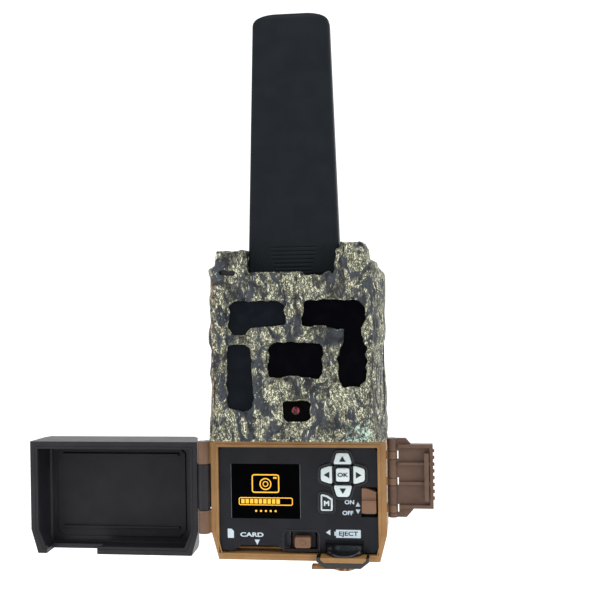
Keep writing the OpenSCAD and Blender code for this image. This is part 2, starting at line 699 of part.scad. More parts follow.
module latch_pin() color("#8d9094") at_thread() bar_z(latch_x, latch_y, [19.6, 54], latch_pin_r);

// ---- battery tray ----

cell_places = [for (row = [-0.5, 0.5], column = [-1.5 : 1.5])
               [column * cell_pitch, tray_mid + row * cell_pitch]];

module battery_tray() color("#2b2b2e") at_thread() difference() {
  block([-tray_half, tray_half], tray_y, [0, tray_h]);
  block([-tray_half + 1.9, tray_half - 1.9], [tray_y[0] - cut, tray_y[1] + cut], [3.2, 54]);
  // Seat of the catch bolt
  block([-0.4, 4.8], [tray_y[0] - cut, tray_y[0] + 0.8], [0.9, 2.9]);
  // Finger grooves in the underside
  for (x = [-18, 18]) block([x - 6, x + 6], [tray_mid - 1, tray_mid + 1], [-cut, 1]);
}

module tray_contacts() color("#c2c5c9") at_thread() for (p = cell_places)
  for (z = [[3.2, 3.6], [53.7, 54]]) block([p[0] - 4, p[0] + 4], [p[1] - 4, p[1] + 4], z);

module tray_gasket() color("#141416") at_thread() difference() {
  block([-tray_half - 0.5, tray_half + 0.5], [tray_y[0] - 0.4, tray_y[1] + 0.4], [0.8, 2]);
  block([-tray_half, tray_half], tray_y, [0, 3]);
}

module aa_cells() color("#3d4f7a") at_thread() for (p = cell_places) {
  bar_z(p[0], p[1], [3.6, cell_z[1]], cell_r);
  bar_z(p[0], p[1], [cell_z[1], cell_z[1] + 0.8], 2.7);
}

rear_shell();
mid_frame();
front_shell();
body_gasket();
case_screws();
strap_bracket();
bracket_screws();
thread_insert();
window_top_left();
window_top_right();
window_left();
window_center();
lens_window();
lens_barrel();
lens_element();
image_sensor_board();
ir_led_board();
ir_leds();
motion_sensor();
light_sensor();
main_board();
cellular_modem();
control_panel();
control_board();
keypad_membrane();
screen_window();
lcd_module();
card_socket();
power_switch();
power_slider();
eject_slider();
key_up();
key_down();
key_left();
key_right();
key_ok();
key_mode();
jack_collar();
dc_jack();
jack_plug();
antenna_front();
antenna_back();
antenna_element();
antenna_pin();
door_shell();
door_liner();
door_gasket();
door_pin();
latch_lever();
latch_pin();
battery_tray();
tray_contacts();
tray_gasket();
aa_cells();
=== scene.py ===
# %% [markdown]
# # A trail camera with its door open
# The camera is a box of moulded plastic with a bark-textured face, a brown lower frame, a black control
# panel, a paddle antenna and a door that swings out to the left. The frame of the object, its sizes and
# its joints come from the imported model. Every piece made here sits in that model's place, in metres, and
# rides on one of its bodies.

# %% Load the frame
import math

import bmesh
import bpy
import numpy as np
from mathutils import Euler, Matrix, Quaternion, Vector


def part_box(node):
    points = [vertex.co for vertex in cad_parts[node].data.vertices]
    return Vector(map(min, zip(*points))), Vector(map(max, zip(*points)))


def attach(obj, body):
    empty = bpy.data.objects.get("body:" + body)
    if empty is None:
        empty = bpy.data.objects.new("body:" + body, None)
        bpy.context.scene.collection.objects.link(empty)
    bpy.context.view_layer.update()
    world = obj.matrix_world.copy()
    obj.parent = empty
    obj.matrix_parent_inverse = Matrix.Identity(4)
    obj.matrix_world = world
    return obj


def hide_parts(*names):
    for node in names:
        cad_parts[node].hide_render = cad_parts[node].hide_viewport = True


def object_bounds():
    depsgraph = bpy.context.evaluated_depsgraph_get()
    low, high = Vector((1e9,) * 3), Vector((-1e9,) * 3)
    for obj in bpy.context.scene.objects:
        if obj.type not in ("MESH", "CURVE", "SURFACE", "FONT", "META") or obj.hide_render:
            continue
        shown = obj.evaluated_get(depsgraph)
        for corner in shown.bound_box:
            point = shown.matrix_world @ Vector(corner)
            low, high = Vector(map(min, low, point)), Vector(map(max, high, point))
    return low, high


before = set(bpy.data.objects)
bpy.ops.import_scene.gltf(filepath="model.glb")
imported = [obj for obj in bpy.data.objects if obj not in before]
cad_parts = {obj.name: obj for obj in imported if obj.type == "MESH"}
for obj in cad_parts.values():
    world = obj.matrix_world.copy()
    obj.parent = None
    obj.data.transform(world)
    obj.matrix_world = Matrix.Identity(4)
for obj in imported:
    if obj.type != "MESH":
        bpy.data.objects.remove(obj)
cad_low, cad_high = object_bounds()
MM = 0.001
print("size in mm:", [round(side / MM, 1) for side in cad_high - cad_low])

# %% [markdown]
# ## Reference planes
# Heights are easiest to think of from the underside of the housing, so the few planes that the pieces
# share are measured from the model's nodes: the rear shell gives the underside, the shoulders and the
# seam between the shells, and the front shell gives the bark face.

# %% Measure the housing
rear_low, rear_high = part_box("rear_shell")
front_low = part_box("front_shell")[0]
SCREEN_RECESS = 0.2 * MM
underside = rear_low.z
seam_y = rear_low.y
bark_y = front_low.y
half_width = rear_high.x
shoulder_z = rear_high.z
bark_foot = front_low.z
panel_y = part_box("screen_window")[0].y - SCREEN_RECESS
foot = underside / MM
print("underside", round(underside, 4), "seam", round(seam_y, 4), "bark face", round(bark_y, 4))


# %% [markdown]
# ## Shader sums written as Python
# A finish is a graph of nodes. Wiring each sum by hand hides what it says, so a wire from a node is
# wrapped in a small class whose operators add the Math nodes: `1 - mask * 0.5` then reads as it is meant.

# %% A wire that can be added and multiplied
class Wire:
    """A number that varies over a surface, held as the output socket of a node."""

    def __init__(self, finish, socket):
        self.finish = finish
        self.socket = socket

    def sum_with(self, operation, first, second):
        settings = {"operation": operation}
        return self.finish.node("ShaderNodeMath", settings, {0: first, 1: second})

    def __add__(self, other):
        return self.sum_with("ADD", self, other)

    def __radd__(self, other):
        return self.sum_with("ADD", other, self)

    def __sub__(self, other):
        return self.sum_with("SUBTRACT", self, other)

    def __rsub__(self, other):
        return self.sum_with("SUBTRACT", other, self)

    def __mul__(self, other):
        return self.sum_with("MULTIPLY", self, other)

    def __rmul__(self, other):
        return self.sum_with("MULTIPLY", other, self)

    def above(self, low, high):
        """A mask that rises smoothly from 0 at low to 1 at high."""
        settings = {"interpolation_type": "SMOOTHSTEP"}
        values = {"Value": self, "From Min": low, "From Max": high}
        return self.finish.node("ShaderNodeMapRange", settings, values, "Result")


# %% [markdown]
# ## One class for every finish
# Every material here is a Principled shader with a few nodes in front of it. The class keeps the shader,
# adds a node in one call, and offers the handful of nodes that the finishes share: a place in
# millimetres, a noise, a mix of two colours and a bump. Noise is placed by object coordinates, so a
# finish needs no unwrapping and has no seams.

# %% A finish and its nodes
class Finish:
    """One material: a Principled shader, and short ways to add the nodes that feed it."""

    made = []

    def __init__(self, name, slot):
        Finish.made.append(name)
        self.material = bpy.data.materials.new(name)
        self.material.use_nodes = True
        self.slot = slot
        self.tree = self.material.node_tree
        self.shader = self.tree.nodes["Principled BSDF"]
        self.where = None

    def plug(self, socket, value):
        if isinstance(value, Wire):
            self.tree.links.new(value.socket, socket)
        else:
            socket.default_value = value

    def node(self, kind, settings, values, output=0):
        made = self.tree.nodes.new(kind)
        for key, setting in settings.items():
            if key == "stops":
                self.set_stops(made.color_ramp, setting)
            else:
                setattr(made, key, setting)
        for key, value in values.items():
            self.plug(made.inputs[key], value)
        return Wire(self, made.outputs[output])

    def set_stops(self, ramp, stops):
        while len(ramp.elements) < len(stops):
            ramp.elements.new(0.5)
        for element, (position, color) in zip(ramp.elements, stops):
            element.position = position
            element.color = color

    def place(self, stretch=(1, 1, 1)):
        """Where a point is on its piece, in millimetres, with each axis divided by its stretch."""
        if self.where is None:
            self.where = self.node("ShaderNodeTexCoord", {}, {}, "Object")
        per_mm = tuple(1 / MM / side for side in stretch)
        return self.node("ShaderNodeVectorMath", {"operation": "MULTIPLY"}, {0: self.where, 1: per_mm})

    def noise(self, grain, stretch=(1, 1, 1), detail=3.0, twist=0.0, rough=0.55):
        """Soft noise from 0 to 1 whose lumps are about grain millimetres across."""
        values = {"Vector": self.place(stretch), "Scale": 1 / grain, "Detail": detail,
                  "Distortion": twist, "Roughness": rough}
        return self.node("ShaderNodeTexNoise", {}, values)

    def mix(self, mask, low, high):
        """Colour low where the mask is 0 and high where it is 1."""
        values = {0: mask, 6: low, 7: high}
        return self.node("ShaderNodeMix", {"data_type": "RGBA"}, values, 2)

    def axis(self, name):
        """One coordinate of the piece, in millimetres."""
        return self.node("ShaderNodeSeparateXYZ", {}, {0: self.place()}, name)

    def bump(self, height, depth):
        """A normal from a height that varies from 0 to 1 over depth millimetres."""
        values = {"Height": height, "Strength": 1.0, "Distance": depth * MM}
        return self.node("ShaderNodeBump", {}, values)

    def surface(self, **sockets):
        """Sets the shader's sockets: base_color=..., roughness=..."""
        for key, value in sockets.items():
            self.plug(self.shader.inputs[key.replace("_", " ").title().replace("Ior", "IOR")], value)
        return self


def tint(red, green, blue):
    """A colour as a screen shows it, 0 to 255, as the linear colour that a shader wants."""
    shown = [part / 255 for part in (red, green, blue)]
    linear = [part / 12.92 if part <= 0.04 else ((part + 0.055) / 1.055) ** 2.4 for part in shown]
    return (*linear, 1.0)


# %% [markdown]
# ## The camouflage film
# The real shell is moulded with a bark relief and then dipped in a printed film. The print is a dark
# slate ground, clusters of short upright flecks in cream and olive, darker cracks, a little rust down the
# left edge and one patch of pale lichen. A picture could be wrapped round the shell, but noise keeps the
# print free of seams on every side: each layer is a noise stretched along Z, cut by a mask and mixed over
# the layer below. The relief cut later is stored on the mesh as the attribute furrow, and the film is
# painted darker in it: this is painted shade in the furrows.

# %% Camouflage finish
def camouflage(name, lichen):
    film = Finish(name, "camo_shell")
    slate = film.noise(5.0, (1, 1, 2.6), 3.0).above(0.35, 0.65)
    ground = film.mix(slate, tint(40, 44, 50), tint(60, 65, 70))
    clusters = film.noise(6.5, (1, 1, 1.7), 4.0, 1.4).above(0.44, 0.5)
    grain = film.noise(0.9, (1, 1, 2.0), 4.0, 0.8, 0.7)
    olive = film.mix(clusters * grain.above(0.42, 0.5), ground, tint(96, 95, 76))
    fleck = film.noise(0.75, (1, 1, 2.0), 3.0, 1.3, 0.65)
    cream = film.mix(clusters * fleck.above(0.53, 0.585), olive, tint(224, 224, 194))
    chips = film.noise(1.1, (1, 1, 2.6), 3.0, 0.7).above(0.62, 0.68)
    gray = film.mix(chips, cream, tint(150, 154, 151))
    crack = film.noise(1.15, (1, 1, 1.9), 4.0, 1.2, 0.75).above(0.44, 0.38)
    inked = film.mix(crack * 0.95, gray, tint(20, 21, 24))
    left_edge = film.axis("X").above(-half_width / MM + 8, -half_width / MM + 2)
    rust_lumps = film.noise(4.0, (1, 1, 2.5), 3.0).above(0.46, 0.6)
    near_face = film.axis("Y").above(bark_y / MM + 14, bark_y / MM + 6)
    rusty = film.mix(left_edge * near_face * rust_lumps * grain.above(0.42, 0.6), inked, tint(171, 112, 74))
    if lichen:
        spread = film.noise(5.0, (1, 1, 1.2), 3.0, 1.0) * 12
        sideways = film.axis("X") + spread
        across = sideways.above(27, 31) * sideways.above(42, 38)
        upward = (film.axis("Z") + spread).above(41.5, 38.5)
        patch = film.noise(1.0, (1, 1, 1.3), 3.0, 1.0).above(0.5, 0.6)
        rusty = film.mix(across * upward * patch, rusty, tint(178, 210, 198))
    # Painted shade: the film is darkened where the relief is sunk, standing in for the shade that falls in
    # the furrows.
    depth = film.node("ShaderNodeAttribute", {"attribute_name": "furrow"}, {}, "Fac")
    with_painted_furrow_shade = film.mix(depth.above(0.42, 0.85) * 0.85, rusty, tint(27, 28, 32))
    fine = film.bump(fleck * 0.5 + grain * 0.5, 0.45)
    return film.surface(base_color=with_painted_furrow_shade, roughness=0.5 + grain * 0.2, normal=fine, specular_ior_level=0.3)


film_front = camouflage("bark film", True)
film_rear = camouflage("bark film, rear", False)


# %% [markdown]
# ## Moulded plastics
# Satin plastic is never one flat colour: the mould's fine spark texture breaks up the highlight, handling
# polishes it in places, and dust lightens it. One function makes them all, from a base colour, a worn
# colour, how rough the mould was, how deep its texture is, and how much it shines. A dark plastic gets a
# low shine, because in a pale room the reflection is what would turn it gray.

# %% Moulded plastic finishes
def moulded(name, slot, color, worn, rough=0.45, texture=0.02, grain=0.35, coat=0.0, shine=0.3):
    plastic = Finish(name, slot)
    cloud = plastic.noise(9.0, (1, 1, 1), 4.0)
    spark = plastic.noise(grain, (1, 1, 1), 2.0)
    handled = plastic.noise(3.0, (1, 1, 1.4), 5.0, 0.4)
    body = plastic.mix(cloud.above(0.3, 0.7), color, worn)
    dusty = plastic.mix(handled.above(0.6, 0.8) * 0.25, body, worn)
    plastic.surface(base_color=dusty, roughness=rough + cloud * 0.1 - handled * 0.06,
                    normal=plastic.bump(spark, texture), coat_weight=coat, specular_ior_level=shine)
    return plastic


BROWN, LATCH, PANEL, DOOR = "brown_plastic", "latch_plastic", "panel_plastic", "door_plastic"
brown = moulded("brown plastic", BROWN, tint(136, 101, 60), tint(150, 113, 71), 0.42)
brown_dark = moulded("brown knuckle plastic", BROWN, tint(96, 71, 54), tint(108, 82, 64), 0.42)
latch_brown = moulded("latch plastic", LATCH, tint(80, 59, 47), tint(94, 71, 58), 0.42)
knob_brown = moulded("knob plastic", BROWN, tint(104, 74, 55), tint(117, 87, 66), 0.4)
panel_black = moulded("panel plastic", PANEL, tint(21, 22, 27), tint(27, 28, 33), 0.4, 0.012, shine=0.16)
gloss_black = moulded("polished black plastic", PANEL, tint(26, 27, 31), tint(32, 33, 38), 0.26, 0.003)
boss_black = moulded("jack boss plastic", PANEL, tint(9, 9, 12), tint(15, 15, 18), 0.14, 0.003, shine=0.5)
antenna_black = moulded("antenna plastic", "antenna_plastic", tint(20, 25, 29), tint(24, 29, 33), 0.5,
                        shine=0.1)
door_black = moulded("door plastic", DOOR, tint(25, 24, 29), tint(32, 31, 36), 0.36, 0.012, shine=0.25)
door_lining = moulded("door lining", DOOR, tint(21, 21, 25), tint(28, 28, 32), 0.5, 0.03, shine=0.2)
black_part = moulded("black moulding", "black_component", tint(40, 40, 44), tint(50, 50, 54))
print("finishes so far:", len(Finish.made))

# %% [markdown]
# ## Key, ink and rubber finishes
# The keys are two pale grays. Their icons and the panel's labels are printed, so the inks are duller than
# plastic. Rubber is rougher still, and only the cells' shrink sleeves have a clear coat.

# %% Finishes of the small pieces
key_gray = moulded("gray key plastic", "grey_key", tint(196, 207, 208), tint(205, 215, 216), 0.42, 0.008)
key_pale = moulded("pale key plastic", "grey_key", tint(202, 212, 216), tint(210, 219, 223), 0.42, 0.008)
legend_ink = moulded("pale legend ink", "grey_key", tint(176, 192, 202), tint(190, 204, 212), 0.55, 0.003)
icon_ink = moulded("black legend ink", "black_key", tint(22, 23, 26), tint(28, 29, 32), 0.55, 0.003)
plug_rubber = moulded("brown rubber", "brown_rubber", tint(165, 112, 67), tint(176, 124, 80), 0.62, 0.03)
seal_rubber = moulded("black rubber", "rubber", tint(26, 26, 28), tint(34, 34, 37), 0.7, 0.03)
membrane_rubber = moulded("gray rubber", "membrane", tint(92, 95, 99), tint(102, 105, 109), 0.7, 0.03)
cell_sleeve = moulded("cell sleeve", "cell_sleeve", tint(58, 76, 120), tint(66, 86, 132), 0.3, 0.004,
                      coat=0.5)


# %% [markdown]
# ## Windows, screen, metal and boards
# The flash and the sensors sit behind smoked acrylic. It is nearly black and polished. The flash panes
# mirror a little of the room, the sensor panes and the screen almost none of it, so each gets its own
# specular level. Real smoked glass would be transparent, but nothing behind these panes can be seen, and
# an opaque face renders cleanly.

# %% Smoked and metal finishes
def scaled(color, share):
    return (*(share * part for part in color[:3]), 1.0)


def smoked(name, slot, color, rough=0.06, shine=0.1):
    acrylic = Finish(name, slot)
    haze = acrylic.noise(5.0, (1, 1, 1), 3.0)
    dust = acrylic.noise(0.5, (1, 1, 1), 2.0)
    mixed = acrylic.mix(haze.above(0.35, 0.75), color, scaled(color, 1.6))
    dusty = rough + dust.above(0.6, 0.9) * 0.12
    return acrylic.surface(base_color=mixed, roughness=dusty, specular_ior_level=shine)


def metal(name, slot, color, rough=0.3):
    plate = Finish(name, slot)
    brushed = plate.noise(0.4, (1, 1, 14), 3.0)
    tarnish = plate.mix(brushed.above(0.4, 0.7), color, scaled(color, 0.75))
    return plate.surface(base_color=tarnish, metallic=1.0, roughness=rough + brushed * 0.15)


flash_smoke = smoked("smoked flash window", "smoked_window", tint(14, 18, 23), shine=0.04)
sensor_smoke = smoked("smoked sensor window", "smoked_window", tint(4, 4, 7), shine=0.012)
lens_smoke = smoked("lens surround", "smoked_window", tint(3, 3, 4), 0.04, 0.02)
screen_black = smoked("screen glass", "screen", tint(1, 1, 2), 0.08, 0.01)
steel = metal("plated steel", "steel", tint(178, 180, 184))
brass = metal("brass", "brass", tint(196, 160, 92))
copper = metal("copper foil", "copper_foil", tint(200, 132, 92))


# %% [markdown]
# ## Circuit boards
# A board is lacquered, with copper tracks under the lacquer. The edges of Voronoi cells look much like
# tracks that share out a board. The boards are green, apart from the one behind the panel, which is black
# and so stays unseen in the slider's slot.

# %% Board finishes
def circuit(name, mask, mask_light, track):
    board = Finish(name, "circuit_board")
    values = {"Vector": board.place(), "Scale": 0.5, "Randomness": 0.4}
    tracks = board.node("ShaderNodeTexVoronoi", {"feature": "DISTANCE_TO_EDGE"}, values, "Distance")
    cloud = board.noise(6.0)
    coated = board.mix(cloud.above(0.3, 0.7), mask, mask_light)
    traced = board.mix(tracks.above(0.09, 0.05), coated, track)
    return board.surface(base_color=traced, roughness=0.35 + cloud * 0.15)


board_green = circuit("green solder mask", tint(20, 74, 46), tint(28, 92, 58), tint(52, 122, 80))
board_black = circuit("black solder mask", tint(13, 13, 15), tint(18, 18, 20), tint(30, 30, 33))


# %% [markdown]
# ## Lens, flash lamps and lit marks
# The lens's red glint, the reflection from its coating, is painted into its colour in patches. The flash
# lamps are clear resin, seen only when the housing is open, so a pale opaque finish does. A lit mark on
# the screen gives off its own colour, a little unevenly.

# %% Coated, clear and lit finishes
def painted_lens_glint():
    glass = Finish("lens with painted red glint", "lens_glass")
    patch = glass.noise(1.6, (1, 1, 1), 2.0)
    # Painted reflection: the red glint of the lens coating is given as base colour, in patches.
    painted_glint = glass.mix(patch.above(0.38, 0.6), tint(30, 8, 10), tint(138, 44, 52))
    return glass.surface(base_color=painted_glint, roughness=0.05 + patch * 0.05, specular_ior_level=0.3)


def led_resin_finish():
    resin = Finish("clear resin", "led_resin")
    cloud = resin.noise(1.5)
    color = resin.mix(cloud.above(0.3, 0.7), tint(196, 202, 214), tint(222, 228, 236))
    return resin.surface(base_color=color, roughness=0.12 + cloud * 0.05)


def lit(name, color):
    mark = Finish(name, "screen")
    flicker = mark.noise(0.6)
    glow = mark.mix(flicker.above(0.3, 0.7), color, scaled(color, 0.85))
    return mark.surface(base_color=glow, roughness=0.4, emission_color=glow, emission_strength=0.75)


painted_red_lens_glint = painted_lens_glint()
led_resin = led_resin_finish()
amber = lit("amber screen light", tint(226, 164, 34))
print("finishes:", len(Finish.made))


# %% [markdown]
# ## Tools for moulded pieces
# Most pieces are moulded from the frame's own shapes: flat walls with edges rounded by a fraction of a
# millimetre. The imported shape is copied, its flat faces are merged, and a bevel rounds what is left. The
# bevel takes material away, so a piece never grows past the shape that it stands for.

# %% Make pieces
def new_piece(name, mesh, finish, body, *stands_for):
    piece = bpy.data.objects.new(name, mesh)
    bpy.context.scene.collection.objects.link(piece)
    mesh.materials.clear()
    mesh.materials.append(finish.material)
    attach(piece, body)
    if stands_for:
        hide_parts(*stands_for)
    return piece


def mesh_of(name, points, faces, smooth=True):
    mesh = bpy.data.meshes.new(name)
    mesh.from_pydata([tuple(p) for p in points], [], faces)
    mesh.validate()
    if smooth:
        mesh.shade_smooth()
    return mesh


def evaluated_mesh(holder):
    """The mesh that a curve, some lettering or a modifier makes. Its holder is removed."""
    bpy.context.scene.collection.objects.link(holder)
    bpy.context.view_layer.update()
    graph = bpy.context.evaluated_depsgraph_get()
    mesh = bpy.data.meshes.new_from_object(holder.evaluated_get(graph))
    bpy.data.objects.remove(holder)
    return mesh


def tidy_copy(node):
    """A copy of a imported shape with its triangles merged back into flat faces."""
    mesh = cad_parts[node].data.copy()
    shape = bmesh.new()
    shape.from_mesh(mesh)
    bmesh.ops.remove_doubles(shape, verts=shape.verts, dist=1e-6)
    bmesh.ops.dissolve_limit(shape, angle_limit=math.radians(0.8), verts=shape.verts, edges=shape.edges)
    shape.to_mesh(mesh)
    shape.free()
    for name in [a.name for a in mesh.attributes if a.name.startswith("custom_normal")]:
        mesh.attributes.remove(mesh.attributes[name])
    return mesh


def softened(node, finish, body, rounding=0.35, segments=3):
    """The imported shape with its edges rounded."""
    mesh = tidy_copy(node)
    mesh.shade_smooth()
    piece = new_piece(node + "_moulding", mesh, finish, body, node)
    bevel = piece.modifiers.new("rounded edges", "BEVEL")
    bevel.width = rounding * MM
    bevel.segments = segments
    bevel.limit_method = "ANGLE"
    bevel.angle_limit = math.radians(28)
    bevel.harden_normals = True
    return piece


def recolor(piece, finish, chosen):
    """Gives a second finish to the faces whose middle, in millimetres, is chosen."""
    piece.data.materials.append(finish.material)
    for face in piece.data.polygons:
        if chosen(face.center / MM):
            face.material_index = 1


def bead(name, path, radius, finish, body):
    """A round bead along a path of points in millimetres, such as a moulded rib or a trim line."""
    curve = bpy.data.curves.new(name, "CURVE")
    curve.dimensions = "3D"
    curve.bevel_depth = radius * MM
    curve.bevel_resolution = 4
    curve.use_fill_caps = True
    spline = curve.splines.new("POLY")
    spline.points.add(len(path) - 1)
    for point, place in zip(spline.points, path):
        point.co = (*(Vector(place) * MM), 1)
    mesh = evaluated_mesh(bpy.data.objects.new("bead", curve))
    mesh.shade_smooth()
    return new_piece(name, mesh, finish, body)


# %% [markdown]
# ## Bark relief
# The bark isn't a picture: its furrows are up to 1.4 mm deep, so the outline of the housing is wavy and
# the windows have ragged edges. A displacement map would need a fine,
# even mesh. A voxel remesh of the imported shell gives one all over, and each of its points is then pushed
# in along its normal by a sum of noises. The noise is worked out with numpy for all points at once: eight
# corners of a random lattice, blended smoothly. Relief only sinks, so the shell never grows past its
# imported size.

# %% Noise for relief
def lattice_noise(points, seed):
    """Smooth noise from -1 to 1 at each point, one lump for each unit."""
    table = np.random.default_rng(seed).uniform(-1, 1, (32, 32, 32))
    base = np.floor(points).astype(int)
    part = points - base
    part = part * part * (3 - 2 * part)
    total = np.zeros(len(points))
    for corner in np.ndindex(2, 2, 2):
        share = np.prod(np.where(corner, part, 1 - part), axis=1)
        cell = (base + corner) % 32
        total += share * table[cell[:, 0], cell[:, 1], cell[:, 2]]
    return total


def smooth_step(value, low, high):
    part = np.clip((value - low) / (high - low), 0, 1)
    return part * part * (3 - 2 * part)


def bark_depth(points):
    """How far the bark is sunk at points in millimetres, from 0 on a plate to 1 in a furrow."""
    sway = np.stack([lattice_noise(points / (7, 7, 9), seed) for seed in (11, 12, 13)], axis=1)
    warped = points + sway * (2.6, 2.6, 3.5)
    plates = lattice_noise(warped / (6.5, 6.5, 15), 21)
    furrows = 1 - smooth_step(np.abs(plates), 0.0, 0.3)
    scales = lattice_noise(warped / (2.6, 2.6, 5.5), 22)
    cracks = 1 - smooth_step(np.abs(scales), 0.0, 0.25)
    grain = lattice_noise(warped / (1.1, 1.1, 2.4), 23)
    lumps = 0.5 - 0.5 * plates
    return np.clip(0.5 * furrows + 0.24 * cracks + 0.16 * (0.5 + 0.5 * grain) + 0.3 * lumps, 0, 1)


# %% [markdown]
# ## An even mesh to carve
# The remesh modifier turns the shell into small, even faces. Its points and normals are read into numpy
# arrays, because a loop over so many points in Python would be slow.

# %% Remesh and read a shell
def fine_mesh(node, grain):
    """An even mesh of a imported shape, with faces about grain millimetres wide."""
    source = bpy.data.objects.new("fine_" + node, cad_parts[node].data.copy())
    remesh = source.modifiers.new("even faces", "REMESH")
    remesh.mode = "VOXEL"
    remesh.voxel_size = grain * MM
    return evaluated_mesh(source)


def coordinates(mesh):
    flat = np.empty(len(mesh.vertices) * 3, np.float32)
    mesh.vertices.foreach_get("co", flat)
    return flat.reshape(-1, 3).astype(float)


def normals(mesh):
    flat = np.empty(len(mesh.vertices) * 3, np.float32)
    mesh.vertex_normals.foreach_get("vector", flat)
    return flat.reshape(-1, 3).astype(float)


# %% [markdown]
# ## Where the relief goes
# Bark is cut into the outer skin only. Where the shell meets its neighbours or the antenna's channel it
# fades out, so that seams stay shut and the antenna can fold. The windows' straight rims are made ragged
# by a push along the face, as torn bark is.

# %% Masks over the shell
def flank_at(depth):
    """Half the housing's width at each distance in front of the seam, in millimetres."""
    front = (seam_y - bark_y) / MM
    half = half_width / MM
    return np.interp(depth, [-100, front - 16, front - 3, front], [half, half, half - 2.5, half - 4.5])


def outer_gap(points):
    """Distance inwards from the housing's outer surface, in millimetres."""
    flank = flank_at(seam_y / MM - points[:, 1]) - np.abs(points[:, 0])
    front = points[:, 1] - bark_y / MM
    return np.minimum(flank, front)


def lower_edge(node):
    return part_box(node)[0].z / MM


def edge_fade(points, node):
    """No relief where the shell meets its neighbours or the antenna's channel."""
    low, high = (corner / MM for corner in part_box(node))
    seam = smooth_step(np.abs(points[:, 1] - seam_y / MM), 0.3, 2.5)
    at_foot = smooth_step(points[:, 2] - low.z, 0.2, 1.6)
    between_blocks = (np.abs(points[:, 0]) < 22.6) & (points[:, 2] > shoulder_z / MM - 12)
    in_channel = between_blocks & (points[:, 1] > bark_y / MM + 5)
    back = smooth_step(rear_high.y / MM - 8 - points[:, 1], 0.3, 2.5)
    return seam * at_foot * back * np.where(in_channel, 0.0, 1.0)


def front_wall(points):
    """Where the ragged sideways push applies: the front wall, but not the housing's flanks."""
    ahead = points[:, 1] < bark_y / MM + 3.5
    return ahead * (1 - smooth_step(np.abs(points[:, 0]), 31.5, 35))


def ragged_rims(points):
    """A push along X and Z that makes the straight rims of the openings wander."""
    small, large = points / (2.7, 12, 2.7), points / (5.5, 12, 5.5)
    lumps = [lattice_noise(small, seed) + 0.6 * lattice_noise(large, seed + 2) for seed in (31, 32)]
    return 0.7 * np.stack(lumps, axis=1)


# %% [markdown]
# ## Shoulders, flanks and lips
# Four larger changes of shape come on top of the relief: narrower shoulders, flanks that swell and dip, a
# worn lip in front of the antenna, and a bark face that ends a little above the brown frame. Each is a
# function that moves the points where its own mask is not zero.

# %% Shape the shell
def drop_hidden(mesh, hidden):
    """Removes the faces whose points are all hidden."""
    shape = bmesh.new()
    shape.from_mesh(mesh)
    shape.verts.ensure_lookup_table()
    gone = [v for v, h in zip(shape.verts, hidden) if h]
    bmesh.ops.delete(shape, geom=gone, context="VERTS")
    shape.to_mesh(mesh)
    shape.free()


def stepped_shoulders(points):
    """The housing is narrower above its shoulders, with a rounded step on both flanks."""
    step_z = foot + 132 + 0.03 * points[:, 0]
    above = smooth_step(points[:, 2], step_z - 1.2, step_z + 1.0)
    outer = smooth_step(np.abs(points[:, 0]), 28, 37)
    points[:, 0] -= np.sign(points[:, 0]) * 3.1 * above * outer


def wavy_flanks(points):
    """The flanks swell and dip along the height, which shows in the outline of the housing."""
    waves = np.stack([points[:, 2] / 8, np.sign(points[:, 0]) * 3.5, points[:, 1] / 60], axis=1)
    dip = smooth_step(lattice_noise(waves, 41), -0.5, 0.5) * smooth_step(np.abs(points[:, 0]), 32, 38)
    above_frame = smooth_step(points[:, 2], bark_foot / MM + 3, bark_foot / MM + 10)
    points[:, 0] -= np.sign(points[:, 0]) * 1.3 * dip * above_frame


def worn_channel_lip(points):
    """The lip in front of the antenna has a ragged top."""
    near_lip = (np.abs(points[:, 0]) < 18.5) & (points[:, 1] < bark_y / MM + 6.5)
    at_top = smooth_step(points[:, 2], foot + 126.5, foot + 128)
    notches = np.stack([points[:, 0] / 3.2, points[:, 1] / 12, np.zeros(len(points))], axis=1)
    points[:, 2] -= near_lip * at_top * 1.6 * smooth_step(lattice_noise(notches, 43), 0.0, 0.6)


def lifted_lip(points):
    """The bark face ends a little above the frame, so that a strip of the brown frame shows under it."""
    near_foot = 1 - smooth_step(points[:, 2], bark_foot / MM, bark_foot / MM + 7)
    ahead = 1 - smooth_step(points[:, 1], panel_y / MM - 5, panel_y / MM - 2)
    points[:, 2] += 2.5 * near_foot * ahead


# %% [markdown]
# ## Carve both shells
# What can't be seen from outside is dropped first, to keep the mesh light. The front shell's mesh is finer
# and its bark deeper than the rear one's, because it is the side that is looked at.

# %% Carve the bark
def bark_shell(node, grain, sink, finish):
    mesh = fine_mesh(node, grain)
    points = coordinates(mesh) / MM
    inner = outer_gap(points) > 3.2
    below_top = points[:, 2] < shoulder_z / MM - 13
    in_body = points[:, 1] < rear_high.y / MM - 12
    above_foot = points[:, 2] > lower_edge(node) + 4
    drop_hidden(mesh, inner & below_top & in_body & above_foot)
    points = coordinates(mesh) / MM
    outward = normals(mesh)
    depth = bark_depth(points)
    near_skin = 1 - smooth_step(outer_gap(points), 0.8, 2.2)
    top_face = smooth_step(outward[:, 2], 0.5, 0.9) * (points[:, 2] > lower_edge(node) + 20)
    weight = np.maximum(near_skin, top_face) * edge_fade(points, node)
    moved = points - outward * (sink * depth * weight)[:, None]
    moved[:, [0, 2]] += (front_wall(points) * edge_fade(points, node))[:, None] * ragged_rims(points)
    wavy_flanks(moved)
    stepped_shoulders(moved)
    if node == "front_shell":
        worn_channel_lip(moved)
        lifted_lip(moved)
    mesh.vertices.foreach_set("co", (moved * MM).astype(np.float32).ravel())
    # The furrow depth is stored for the film, which uses it to paint shade into the furrows.
    furrow = mesh.attributes.new("furrow", "FLOAT", "POINT")
    furrow.data.foreach_set("value", (depth * weight).astype(np.float32))
    mesh.shade_smooth()
    mesh.update()
    print(node, "bark mesh:", len(mesh.vertices), "points")
    return new_piece(node + "_bark", mesh, finish, "housing", node)


bark_shell("front_shell", 0.55, 1.4, film_front)
bark_shell("rear_shell", 0.8, 1.0, film_rear)


